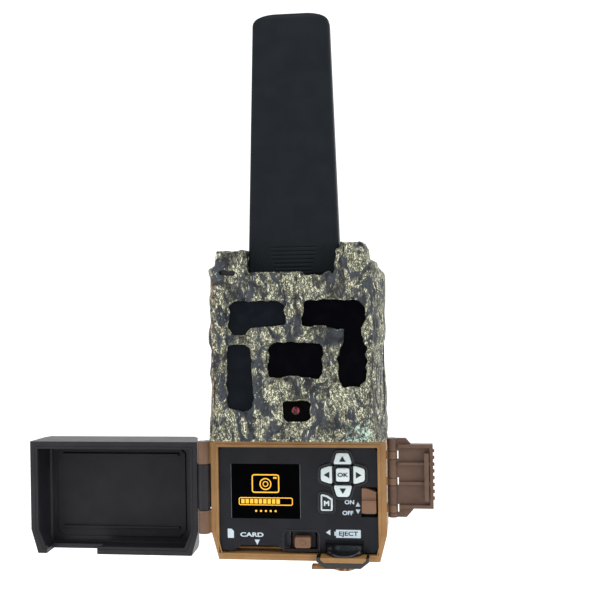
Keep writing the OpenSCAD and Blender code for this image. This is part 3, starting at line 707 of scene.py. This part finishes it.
# %% [markdown]
# ## The antenna paddle
# The paddle is one flat, slightly tapered moulding with rounded edges. Near its foot it has a grip: level
# ridges in the middle and slanted ridges on both sides. It is lofted: a rounded section is drawn at many
# heights, its points are sunk where a groove runs, and neighbouring sections are joined. Sections are
# close together only at the grip.

# %% Measure and shape the paddle
pin_low, pin_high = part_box("antenna_pin")
paddle_low, paddle_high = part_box("antenna_front")
back_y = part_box("antenna_back")[1].y
pivot = Vector((0, (pin_low.y + pin_high.y) / 2, (pin_low.z + pin_high.z) / 2)) / MM
foot_z = paddle_low.z / MM
tip_z = paddle_high.z / MM
grip_top = foot_z + 15
half_foot = paddle_high.x / MM
half_tip = half_foot - 3.3
half_thick = (back_y - paddle_low.y) / MM / 2
crown = 5.5
EDGE = 1.3
print("antenna from", round(foot_z, 1), "to", round(tip_z, 1), "mm")


def paddle_half_width(z):
    shoulder = tip_z - crown
    straight = np.interp(z, [foot_z, shoulder], [half_foot, half_tip])
    rounded = max(0.0, (z - shoulder) / crown)
    return straight - 9.5 * (1 - math.sqrt(max(0.0, 1 - rounded ** 2.4)))


def paddle_half_thickness(z):
    levels = [foot_z, foot_z + 2, tip_z - 2, tip_z]
    return np.interp(z, levels, [half_thick - 1.4, half_thick, half_thick - 1.4, half_thick - 2.4])


def groove(x, z):
    """Depth of the grip's grooves on the front face, from 0 to 1."""
    if z > grip_top:
        return 0.0
    middle = 7.2 + 0.28 * (z - foot_z)
    slant = math.radians(57)
    along, pitch = z - foot_z, 1.8
    if abs(x) >= middle:
        along, pitch = along * math.cos(slant) - abs(x) * math.sin(slant), 1.15
    below_top = min(1.0, grip_top - z)
    off_border = min(1.0, abs(abs(x) - middle) / 0.3)
    off_edge = min(1.0, (half_foot - 1.2 - abs(x)) / 0.5)
    fade = below_top * off_border * off_edge
    wave = abs((along / pitch) % 1 - 0.5) * 2
    return max(0.0, fade) * max(0.0, 1 - wave / 0.38)


def corner_arc(x, y, radius, start, steps):
    """Points of a quarter turn that begins at start degrees, in sixths of the turn."""
    turns = [math.radians(start + 15 * step) for step in steps]
    return [(x + radius * math.cos(turn), y + radius * math.sin(turn)) for turn in turns]


def paddle_ring(z):
    """One section of the paddle: a grooved front, a plain back and four round corners."""
    half, thick = paddle_half_width(z), paddle_half_thickness(z)
    corner = min(EDGE, thick * 0.8)
    side, back = half - corner, thick - corner
    across = [side * (step / 60 - 1) for step in range(121)]
    ring = [(x, -thick + 0.3 * groove(x, z)) for x in across]
    ring += corner_arc(side, -back, corner, -90, range(1, 7))
    ring += corner_arc(side, back, corner, 0, range(6))
    ring += [(side * (1 - step / 8), thick) for step in range(17)]
    ring += corner_arc(-side, back, corner, 90, range(1, 7))
    ring += corner_arc(-side, -back, corner, 180, range(6))
    return [(x, pivot.y + y, z) for x, y in ring]


def loft(name, rings):
    """Joins closed rings of equal length, and closes both ends."""
    count = len(rings[0])
    points = [point for ring in rings for point in ring]
    faces = []
    for start in range(0, (len(rings) - 1) * count, count):
        for spot in range(count):
            after = (spot + 1) % count
            faces.append((start + spot, start + after, start + count + after, start + count + spot))
    faces.append(tuple(reversed(range(count))))
    faces.append(tuple(range((len(rings) - 1) * count, len(rings) * count)))
    return mesh_of(name, np.array(points) * MM, faces)


# %% Loft the antenna
grip_levels = np.arange(foot_z, grip_top + 1.5, 0.3)
blade_levels = np.linspace(grip_top + 1.8, tip_z - crown, 26)
crown_levels = tip_z - crown * (1 - np.sin(np.linspace(0, math.pi / 2, 14)[1:] * 0.985))
levels = [*grip_levels, *blade_levels, *crown_levels]
paddle = loft("antenna_paddle", [paddle_ring(z) for z in levels])
paddle.set_sharp_from_angle(angle=math.radians(40))
new_piece("antenna_paddle", paddle, antenna_black, "antenna", "antenna_front", "antenna_back")
print("antenna sections:", len(levels))


# %% [markdown]
# ## Frame, door, latch and the other mouldings
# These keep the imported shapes, with rounded edges. The rounding is what catches the light, so a wide one
# goes on what a hand touches and a narrow one on small parts. Where one moulding shows two plastics, such
# as the frame and its darker knuckles, a test on each face's middle picks the second one.

# %% Rounded mouldings
frame_piece = softened("mid_frame", brown, "housing", 0.8)
frame_left = -half_width / MM
recolor(frame_piece, brown_dark, lambda middle: abs(middle.x) > -frame_left + 0.3)
panel_piece = softened("control_panel", panel_black, "housing", 0.5)
recolor(panel_piece, boss_black, lambda middle: middle.y < panel_y / MM - 0.7)
softened("jack_collar", boss_black, "housing", 0.7)
softened("strap_bracket", brown_dark, "housing", 0.8)
softened("door_shell", door_black, "door", 0.7)
softened("door_liner", door_lining, "door", 0.35)
softened("door_gasket", seal_rubber, "door", 0.3)
lever_piece = softened("latch_lever", latch_brown, "lever", 0.3)
softened("battery_tray", black_part, "tray", 0.5)
softened("power_slider", knob_brown, "power_knob", 0.3)
eject_piece = softened("eject_slider", knob_brown, "eject_knob", 0.4)
recolor(eject_piece, panel_black, lambda middle: middle.y > panel_y / MM + 0.3)

# %% [markdown]
# ## The latch's slanted shoulders
# The lever is a little taller beside its hinge. The step down to the plate is a slant and not a square
# corner, so the two inner corners of each step are moved away from the hinge.

# %% Slant the latch's shoulders
lever_low, lever_high = (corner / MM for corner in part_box("latch_lever"))
latch_axis = (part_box("latch_pin")[0].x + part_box("latch_pin")[1].x) / 2 / MM
STEP_REACH = 6
for vertex in lever_piece.data.vertices:
    at_step = abs(vertex.co.x / MM - latch_axis - STEP_REACH) < 0.1
    height = vertex.co.z / MM
    if at_step and lever_low.z + 2 < height < lever_low.z + 8:
        vertex.co.x += 3.5 * MM
    if at_step and lever_high.z - 8 < height < lever_high.z - 1:
        vertex.co.x += 2.2 * MM
print("latch from", round(lever_low.z, 1), "to", round(lever_high.z, 1), "mm")

# %% [markdown]
# ## The plug's pull tab
# The rubber tab is thin and flexible, and a little higher at the plug than at its free end. A bend
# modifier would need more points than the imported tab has, so its few corner points are moved, in
# proportion to how far out they are.

# %% The plug and its pull tab
plug_piece = softened("jack_plug", plug_rubber, "plug", 0.4)
plug_low, plug_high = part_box("jack_plug")
plug_width = (plug_high.y - plug_low.y) / MM
tab_root = plug_high.x / MM - plug_width
tab_end = plug_low.x / MM
tab_thick = 1.0 * MM
tab_droop = 0.3 * MM
for vertex in plug_piece.data.vertices:
    along = (vertex.co.x / MM - tab_end) / (tab_root - tab_end)
    if along < 1:
        flat = min(vertex.co.z, plug_low.z + tab_thick)
        vertex.co.z = flat + tab_droop * max(0.0, along)
print("pull tab is", round(tab_root - tab_end, 1), "mm long")

# %% [markdown]
# ## The hinge's leaf
# Between the two brown knuckles a narrow leaf of the frame stands behind the door's knuckle and closes
# the gap.

# %% The leaf behind the door's knuckle
pin_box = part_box("door_pin")
knuckle_x = (pin_box[0].x + pin_box[1].x) / 2 / MM
knuckle_y = (pin_box[0].y + pin_box[1].y) / 2 / MM
leaf_z = foot + 22.6, foot + 42.6
leaf = [(knuckle_x + 0.9, knuckle_y + 3.1), (frame_left + 0.4, knuckle_y + 3.1),
        (frame_left + 0.4, knuckle_y + 4.6), (knuckle_x + 0.9, knuckle_y + 4.0)]
leaf_rings = [[(x, y, z) for x, y in leaf] for z in leaf_z]
new_piece("hinge_leaf", loft("hinge_leaf", leaf_rings), brown_dark, "housing")
print("leaf is", round(leaf_z[1] - leaf_z[0], 1), "mm tall")


# %% [markdown]
# ## Keys
# A key is a rounded pad with a softly crowned top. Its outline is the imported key's, with arcs at the
# corners. The pad is built from rings of that outline: the last few shrink and rise along a quarter
# circle, which rounds the rim. A bevel would round the rim too, but wouldn't crown the top.

# %% Outlines with round corners
CROWN = 0.12


def rounded_outline(corners, radius, steps=6):
    """Replaces each corner of an outline by an arc."""
    outline = []
    for index, corner in enumerate(corners):
        before = Vector(corners[index - 1]) - Vector(corner)
        after = Vector(corners[(index + 1) % len(corners)]) - Vector(corner)
        opening = before.angle(after)
        reach = min(radius / math.tan(opening / 2), before.length * 0.48, after.length * 0.48)
        start = Vector(corner) + before.normalized() * reach
        end = Vector(corner) + after.normalized() * reach
        for step in range(steps + 1):
            part = step / steps
            bend = start.lerp(Vector(corner), part).lerp(Vector(corner).lerp(end, part), part)
            outline.append((bend.x, bend.y))
    return outline


def inset(outline, distance):
    """Moves an outline inwards, or outwards for a negative distance. It runs anticlockwise."""
    moved = []
    for index, point in enumerate(outline):
        before, after = Vector(outline[index - 1]), Vector(outline[(index + 1) % len(outline)])
        along = (after - before).normalized()
        moved.append((point[0] - along.y * distance, point[1] + along.x * distance))
    return moved


def ring_at(outline, y):
    return [(x, y, z) for x, z in outline]


def pad_rings(outline, back_y, front_y, rim=0.5):
    """Rings of a pad that faces the viewer, from its back to its crowned top."""
    rings = [ring_at(outline, back_y)]
    for step in range(6):
        turn = math.pi / 2 * step / 5
        shrunk = inset(outline, rim * (1 - math.cos(turn)))
        rings.append(ring_at(shrunk, front_y + rim * (1 - math.sin(turn))))
    middle = sum((Vector(point) for point in outline), Vector((0, 0))) / len(outline)
    for share in (0.75, 0.45, 0.15):
        shrunk = [tuple(middle + (Vector(point) - middle) * share) for point in inset(outline, rim)]
        rings.append(ring_at(shrunk, front_y - CROWN * (1 - share)))
    return rings


def sheet_at(name, outline, y, finish, body):
    """A thin printed sheet facing the viewer."""
    count = len(outline)
    points = np.array(ring_at(outline, y) + ring_at(outline, y + 0.04)) * MM
    sides = [(i, i + count, (i + 1) % count + count, (i + 1) % count) for i in range(count)]
    faces = [tuple(range(count)), tuple(reversed(range(count, 2 * count))), *sides]
    return new_piece(name, mesh_of(name, points, faces, smooth=False), finish, body)


# %% [markdown]
# ## The direction pad and the mode key
# The four arrow keys are one outline, turned about the middle of the pad by quarter turns. Each icon is a
# thin sheet just above its key and rides on the same body, as printed ink does.

# %% Measure the pad
GAP = 0.05
pad_low, pad_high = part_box("key_ok")
pad_middle = Vector(((pad_low.x + pad_high.x) / 2, (pad_low.z + pad_high.z) / 2)) / MM
key_front = pad_low.y / MM
key_back = pad_high.y / MM


def turned(points, degrees, about):
    turn = math.radians(degrees)
    across, up = math.cos(turn), math.sin(turn)
    return [(about.x + x * across - z * up, about.y + x * up + z * across) for x, z in points]


# %% Make the keys
ARROW = [(-3.9, 4.7), (3.9, 4.7), (3.9, 5.9), (2.7, 9.8), (-2.7, 9.8), (-3.9, 5.9)]
TRIANGLE = [(-1.45, 5.9), (1.45, 5.9), (0, 8.4)]
key_outlines = {}


def key_cap(name, finish):
    cap = loft("cap", pad_rings(key_outlines[name], key_back, key_front + CROWN))
    new_piece("key_" + name + "_cap", cap, finish, name, "key_" + name)


for name, degrees in (("up", 0), ("left", 90), ("down", 180), ("right", 270)):
    key_outlines[name] = rounded_outline(turned(ARROW, degrees, pad_middle), 1.5)
    key_cap(name, key_gray)
    icon = turned(TRIANGLE, degrees, pad_middle)
    sheet_at("key_" + name + "_icon", icon, key_front - GAP, icon_ink, name)

ok_half = 3.0
ok_corners = [(-ok_half, -ok_half), (ok_half, -ok_half), (ok_half, ok_half), (-ok_half, ok_half)]
key_outlines["ok"] = rounded_outline(turned(ok_corners, 0, pad_middle), 1.0)
key_cap("ok", key_pale)

FLANGE = 0.6
mode_low, mode_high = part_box("key_mode")
mode_left, mode_right = mode_low.x / MM + FLANGE, mode_high.x / MM - FLANGE
mode_foot, mode_top = mode_low.z / MM + FLANGE, mode_high.z / MM - FLANGE
mode_corners = [(mode_left, mode_foot), (mode_right, mode_foot), (mode_right, mode_top - 2.2),
                (mode_right - 2.4, mode_top - 0.6), (mode_left, mode_top)]
key_outlines["mode"] = rounded_outline(mode_corners, 0.9)
key_cap("mode", key_gray)
sheet_at("key_mode_face", inset(key_outlines["mode"], 0.85), key_front - GAP, icon_ink, "mode")
print("keys:", ", ".join(key_outlines))


# %% [markdown]
# ## The panel's raised rims
# A low polished rim stands round each key. It is an open ring, so the key can travel through it. Its
# profile of offsets and heights is carried round the key's outline, which keeps its width even at the
# corners.

# %% Rims round the keys
panel_face = panel_y / MM


def rim_ring(name, outline, inner, outer, height, finish):
    """A raised ring that follows an outline, with rounded shoulders."""
    profile = [(inner, 0.3), (inner, -height * 0.6), (inner + 0.15, -height), (outer - 0.3, -height),
               (outer - 0.08, -height * 0.7), (outer, 0.3)]
    rings = [ring_at(inset(outline, -grown), panel_face + lift) for grown, lift in profile]
    count = len(outline)
    points = np.array([point for ring in rings for point in ring]) * MM
    faces = []
    for level in range(len(rings)):
        here, there = level * count, (level + 1) % len(rings) * count
        for spot in range(count):
            beside = (spot + 1) % count
            faces.append((here + spot, there + spot, there + beside, here + beside))
    return new_piece(name, mesh_of(name, points, faces), finish, "housing")


for name, outline in key_outlines.items():
    rim_ring("rim_" + name, outline, 0.36, 1.2 if name == "ok" else 1.5, 0.55, gloss_black)
print("rims:", len(key_outlines))

# %% [markdown]
# ## The panel's printing
# The labels are generic words and marks, printed pale on black. Blender's own lettering makes the
# outlines: it is turned into a mesh at once, stood upright and stretched a little, so that nothing
# depends on a font later. Marks such as arrows are thin sheets.

# %% Lettering
def legend(name, words, size, x, z, y, finish, body, bold=0.03, wide=1.1):
    """Short generic lettering, printed flat and a little wide."""
    curve = bpy.data.curves.new(name, "FONT")
    curve.body = words
    curve.size = size * MM
    curve.align_x = "CENTER"
    curve.align_y = "CENTER"
    curve.extrude = 0.02 * MM
    curve.offset = bold * size * MM
    mesh = evaluated_mesh(bpy.data.objects.new("lettering", curve))
    upright = Euler((math.pi / 2, 0, 0))
    mesh.transform(Matrix.LocRotScale(Vector((x, y, z)) * MM, upright, Vector((wide, 1, 1))))
    return new_piece(name, mesh, finish, body)


INK = 0.03
print_y = panel_face - INK
icon_y = key_front - GAP
mode_x = (mode_left + mode_right) / 2
mode_z = (mode_foot + mode_top) / 2 - 0.4
legend("key_ok_legend", "OK", 2.4, pad_middle.x, pad_middle.y, icon_y, icon_ink, "ok", wide=1.3)
legend("key_mode_legend", "M", 3.0, mode_x, mode_z, icon_y - GAP, key_pale, "mode", bold=0.04)
legend("legend_on", "ON", 2.5, 22.8, foot + 25.9, print_y, legend_ink, "housing")
legend("legend_off", "OFF", 2.5, 22.0, foot + 21.1, print_y, legend_ink, "housing")
legend("legend_card", "CARD", 2.6, -21.3, foot + 10.8, print_y, legend_ink, "housing", wide=1.5)

# %% Printed marks
for name, points in {
    "legend_on_arrow": [(25.5, 24.1), (27.6, 24.1), (26.55, 26.1)],
    "legend_off_arrow": [(25.5, 22.8), (26.55, 20.8), (27.6, 22.8)],
    "legend_card_arrow": [(-20.1, 8.7), (-18.9, 6.3), (-17.7, 8.7)],
    "legend_eject_arrow": [(14.1, 11.2), (14.1, 13.7), (12.1, 12.4)],
    "legend_card_sheet": [(-32.3, 9.3), (-29.5, 9.3), (-29.5, 12.4), (-30.6, 13.4), (-32.3, 13.4)],
}.items():
    sheet_at(name, [(x, foot + z) for x, z in points], print_y, legend_ink, "housing")
cell_corners = [(16.6, foot + 10.1), (27.6, foot + 10.1), (27.6, foot + 13.7), (16.6, foot + 13.7)]
sheet_at("legend_cell", rounded_outline(cell_corners, 0.3), print_y, legend_ink, "housing")
cell_tip = [(15.9, foot + 11.0), (16.7, foot + 11.0), (16.7, foot + 12.8), (15.9, foot + 12.8)]
sheet_at("legend_cell_tip", cell_tip, print_y, legend_ink, "housing")
legend("legend_eject", "EJECT", 2.6, 22.1, foot + 11.9, print_y - GAP, icon_ink, "housing", 0.02, wide=1.3)


# %% [markdown]
# ## A raised line round the frame
# The door's seal shuts on a low line that runs round the frame's front. A bead along a path is quicker
# than a profile cut into the frame, and the few points of the path are the frame's own corners, a little
# further in.

# %% The frame's line
trim_half = half_width / MM - 2.2
trim_z = foot + 1.7, foot + 12.5, foot + 51.6
trim_y = panel_face - 1.45
trim_side = [(trim_half - 2.8, trim_z[0]), (trim_half, trim_z[1]), (trim_half, trim_z[2])]
trim_outline = [(-x, z) for x, z in reversed(trim_side)] + trim_side
trim = ring_at(trim_outline, trim_y)
bead("frame_trim", trim + trim[:1], 0.32, brown, "housing")
print("frame line:", round(2 * trim_half, 1), "mm wide")


# %% [markdown]
# ## What the screen shows
# The screen shows a plain start picture: a camera drawn in amber lines, a progress bar and a row of dots.
# Each is a thin lit sheet just in front of the glass. A picture file would do as well, but then it would
# have to travel with the model.

# %% Lines and shapes for the screen
screen_low, screen_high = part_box("screen_window")
screen_middle = (screen_low + screen_high) / 2 / MM
lit_y = screen_low.y / MM - INK


def lit_ring(name, outline, width):
    """A line of even width that follows an outline."""
    inside = inset(outline, width)
    count = len(outline)
    points = np.array(ring_at(outline, lit_y) + ring_at(inside, lit_y)) * MM
    faces = [(i, (i + 1) % count, (i + 1) % count + count, i + count) for i in range(count)]
    return new_piece(name, mesh_of(name, points, faces, smooth=False), amber, "housing")


def rectangle(x, z, width, height):
    """Corners of a rectangle about a middle, measured from the screen's middle."""
    left, low = screen_middle.x + x - width / 2, screen_middle.z + z - height / 2
    return [(left, low), (left + width, low), (left + width, low + height), (left, low + height)]


def circle(x, z, radius, steps=40):
    x, z = screen_middle.x + x, screen_middle.z + z
    turns = [2 * math.pi * step / steps for step in range(steps)]
    return [(x + radius * math.cos(turn), z + radius * math.sin(turn)) for turn in turns]


# %% Screen picture
lit_ring("picture_camera_body", rounded_outline(rectangle(0, 3.4, 12.5, 8.4), 1.4), 0.55)
lit_ring("picture_camera_lens", circle(0, 3.2, 2.7), 0.5)
lit_ring("picture_camera_pupil", circle(0, 3.2, 1.3), 0.4)
sheet_at("picture_camera_flash", rectangle(4.3, 6.0, 1.5, 0.8), lit_y, amber, "housing")
lit_ring("picture_progress", rounded_outline(rectangle(0, -4.6, 24.5, 3.6), 1.0), 0.4)
for bar in range(9):
    sheet_at(f"picture_bar_{bar}", rectangle(-10.4 + 2.0 * bar, -4.6, 1.5, 2.0), lit_y, amber, "housing")
for dot in range(5):
    spot = rounded_outline(rectangle(-4.4 + 2.2 * dot, -8.9, 0.9, 0.9), 0.4)
    sheet_at(f"picture_dot_{dot}", spot, lit_y, amber, "housing")
half_screen = (screen_high.x - screen_low.x) / MM / 2 - 0.15
screen_height = (screen_high.z - screen_low.z) / MM
for side, x in (("left", -half_screen), ("right", half_screen)):
    strip = rectangle(x, 0, 0.24, screen_height)
    sheet_at("screen_edge_" + side, strip, lit_y, membrane_rubber, "housing")
print("screen:", round(2 * half_screen, 1), "by", round(screen_height, 1), "mm")


# %% [markdown]
# ## The eject button's surround
# A raised bead runs round three sides of the eject button's recess, and a small ring is moulded on the
# button. The ring rides on the button, and a dark wall closes the part of the slot that the button leaves
# free.

# %% Beads
button_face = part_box("eject_slider")[0].y
arch_left, arch_right, arch_top = -7.2, 9.3, foot + 13.2
arch_foot, arch_cut = foot + 4.2, 1.6
arch = [(arch_left, arch_foot), (arch_left, arch_top - 2), (arch_left + arch_cut, arch_top),
        (arch_right - arch_cut, arch_top), (arch_right, arch_top - 2), (arch_right, arch_foot)]
bead("eject_arch", ring_at(arch, panel_face), 0.35, gloss_black, "housing")
cover_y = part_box("control_panel")[1].y / MM + 1.6
cover = [(arch_left, foot + 4.6), (-4.3, foot + 4.6), (-4.3, foot + 12.6), (arch_left, foot + 12.6)]
sheet_at("eject_recess_wall", cover, cover_y, black_part, "housing")
turns = np.linspace(0, 2 * math.pi, 33)
ring_path = [(1.8 + 1.3 * math.cos(turn), foot + 8 + math.sin(turn)) for turn in turns]
bead("eject_mark", ring_at(ring_path, button_face / MM), 0.14, brown_dark, "eject_knob")
print("eject recess:", round(arch_right - arch_left, 1), "mm wide")


# %% [markdown]
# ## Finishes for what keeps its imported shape
# The boards, sensors, screws and pins are seen only through a gap or when something opens. Their shapes
# are right already, so they only get their finish.

# %% Finish the remaining nodes
finishes = {
    flash_smoke: ["window_top_left", "window_left"],
    sensor_smoke: ["window_top_right", "window_center"],
    lens_smoke: ["lens_window"],
    screen_black: ["screen_window"],
    painted_red_lens_glint: ["lens_element"],
    led_resin: ["ir_leds"],
    black_part: ["lens_barrel", "light_sensor", "lcd_module", "dc_jack"],
    board_green: ["image_sensor_board", "ir_led_board", "main_board"],
    board_black: ["control_board"],
    steel: ["case_screws", "bracket_screws", "motion_sensor", "cellular_modem", "card_socket",
            "power_switch", "antenna_pin", "door_pin", "latch_pin", "tray_contacts"],
    brass: ["thread_insert"],
    copper: ["antenna_element"],
    seal_rubber: ["body_gasket", "tray_gasket"],
    membrane_rubber: ["keypad_membrane"],
    cell_sleeve: ["aa_cells"],
}
for finish, nodes in finishes.items():
    for node in nodes:
        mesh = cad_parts[node].data
        mesh.materials.clear()
        mesh.materials.append(finish.material)
print("nodes with a finish of their own:", sum(len(nodes) for nodes in finishes.values()))


# %% [markdown]
# ## The lens behind its window
# The lens window is opaque here, so what shows of the lens is modelled on it: a black surround, a domed
# glass and the red gleam of its coating, which is a painted reflection. A dome is a stack of shrinking
# rings that ends in one point.

# %% Lens
lens_low, lens_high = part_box("lens_barrel")
lens_middle = (lens_low + lens_high) / 2 / MM
glass_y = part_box("lens_window")[0].y / MM


def dome(name, radius, height, y, finish, rings=8, steps=40, shift=(0, 0)):
    """A shallow glass dome facing the viewer."""
    points = []
    for ring in range(rings):
        lean = math.pi / 2 * ring / rings
        for step in range(steps):
            turn = 2 * math.pi * step / steps
            points.append((lens_middle.x + shift[0] + radius * math.cos(lean) * math.cos(turn),
                           y - height * math.sin(lean),
                           lens_middle.z + shift[1] + radius * math.cos(lean) * math.sin(turn)))
    points.append((lens_middle.x + shift[0], y - height, lens_middle.z + shift[1]))
    faces = [tuple(reversed(range(steps)))]
    for step in range(steps):
        beside = (step + 1) % steps
        for ring in range(0, (rings - 1) * steps, steps):
            faces.append((ring + step, ring + beside, ring + steps + beside, ring + steps + step))
        last = (rings - 1) * steps
        faces.append((last + step, last + beside, rings * steps))
    return new_piece(name, mesh_of(name, np.array(points) * MM, faces), finish, "housing")


dome("lens_surround", 3.7, 0.3, glass_y, lens_smoke)
dome("lens_glass", 2.6, 0.5, glass_y - 0.15, lens_smoke)
# The red gleam is a painted reflection on a small dome, not a lit surface.
dome("lens_gleam", 1.7, 0.15, glass_y - 0.55, painted_red_lens_glint, shift=(0, 0.1))
print("lens middle:", round(lens_middle.x, 1), round(lens_middle.z, 1))


# %% [markdown]
# ## Studio floor
# A sheet of pale paper lies under the object and curves up behind it, so that no edge shows. It glows a
# little, which keeps it even without a strong light on the object.

# %% Floor
FLOOR_BELOW = 0.12


def studio_floor():
    """A floor that curves up into a wall behind the object."""
    depth = underside - FLOOR_BELOW
    reach, radius = 5.0, 1.2
    bend_y = reach / 2
    profile = [(-reach, depth)]
    for step in range(13):
        turn = math.pi / 2 * step / 12
        profile.append((bend_y + radius * math.sin(turn), depth + radius * (1 - math.cos(turn))))
    profile.append((bend_y + radius, depth + reach))
    points = [(x, y, z) for y, z in profile for x in (-reach, reach)]
    faces = [(2 * i, 2 * i + 1, 2 * i + 3, 2 * i + 2) for i in range(len(profile) - 1)]
    floor = bpy.data.objects.new("studio_floor", mesh_of("studio_floor", points, faces))
    bpy.context.scene.collection.objects.link(floor)
    paper = Finish("studio paper", "panel_plastic")
    fibres = paper.noise(40.0)
    white = paper.mix(fibres.above(0.3, 0.7), (0.9, 0.9, 0.9, 1), (0.92, 0.92, 0.92, 1))
    paper.surface(base_color=white, roughness=0.9, emission_color=(1, 1, 1, 1), emission_strength=0.35)
    floor.data.materials.append(paper.material)


studio_floor()
print("floor at", round(underside - FLOOR_BELOW, 3), "m")


# %% [markdown]
# ## Lights
# One large soft light stands overhead and two at the sides: big lights give soft edges to every
# reflection. Each is turned to face the middle of the object.

# %% Soft lights
def softbox(name, place, aim, width, height, power):
    light = bpy.data.lights.new(name, "AREA")
    light.shape = "RECTANGLE"
    light.size = width
    light.size_y = height
    light.energy = power
    holder = bpy.data.objects.new(name, light)
    bpy.context.scene.collection.objects.link(holder)
    holder.location = place
    holder.rotation_mode = "QUATERNION"
    holder.rotation_quaternion = (Vector(aim) - Vector(place)).to_track_quat("-Z", "Y")


middle = (cad_low + cad_high) / 2
softbox("light_above", (0.1, -0.5, 1.0), middle, 0.9, 0.9, 4.5)
softbox("light_left", (-0.9, -0.5, 0.45), middle, 0.5, 0.9, 2.6)
softbox("light_right", (0.9, -0.5, 0.4), middle, 0.5, 0.9, 3.6)
print("lights:", len(bpy.data.lights))

# %% [markdown]
# ## The room
# Glossy black plastic shows what is around it. The room is white, but a little dimmer on the side that
# the object faces, so that its dark face stays dark, while its back is still well lit. The room's own Y
# direction drives it.

# %% A room that is dimmer in front
ROOM_IN_FRONT, ROOM_BEHIND = 0.72, 1.0
world = bpy.data.worlds.new("studio room")
bpy.context.scene.world = world
world.use_nodes = True
room = world.node_tree
facing = room.nodes.new("ShaderNodeTexCoord")
across = room.nodes.new("ShaderNodeSeparateXYZ")
wall = room.nodes.new("ShaderNodeMapRange")
wall.interpolation_type = "SMOOTHSTEP"
wall.inputs["From Min"].default_value = -0.5
wall.inputs["From Max"].default_value = 0.5
wall.inputs["To Min"].default_value = ROOM_IN_FRONT
wall.inputs["To Max"].default_value = ROOM_BEHIND
room.links.new(facing.outputs["Generated"], across.inputs[0])
room.links.new(across.outputs["Y"], wall.inputs["Value"])
room.links.new(wall.outputs["Result"], room.nodes["Background"].inputs["Strength"])
room.nodes["Background"].inputs["Color"].default_value = (1, 1, 1, 1)
bpy.context.scene.view_settings.view_transform = "Standard"
print("room brightness:", ROOM_IN_FRONT, "to", ROOM_BEHIND)

# %% [markdown]
# ## Camera
# The camera stands close, a little to the right of the object and about level with its windows. Being
# close, it gives a strong perspective. It looks level, turned towards the middle of the object and rolled
# by about a degree. A small shift of the lens moves the picture up without leaning the camera, which
# keeps upright edges parallel.

# %% Camera
FOCAL_SHARE = 1.602
EYE_ASIDE, EYE_AHEAD, EYE_UP = 0.051, 0.419, 0.1236
camera = bpy.data.objects.new("camera", bpy.data.cameras.new("camera"))
bpy.context.scene.collection.objects.link(camera)
bpy.context.scene.camera = camera
camera.data.lens = FOCAL_SHARE * camera.data.sensor_width
camera.data.clip_start = 0.01
camera.data.shift_y = -0.0203
eye = Vector((EYE_ASIDE, panel_y - EYE_AHEAD, underside + EYE_UP))
aim = Vector((0.0, panel_y, underside + EYE_UP))
roll = math.radians(-0.9)
camera.location = eye
camera.rotation_mode = "QUATERNION"
camera.rotation_quaternion = (aim - eye).to_track_quat("-Z", "Y") @ Quaternion((0, 0, 1), roll)
print("camera stands", round(EYE_AHEAD / MM), "mm in front of the panel")
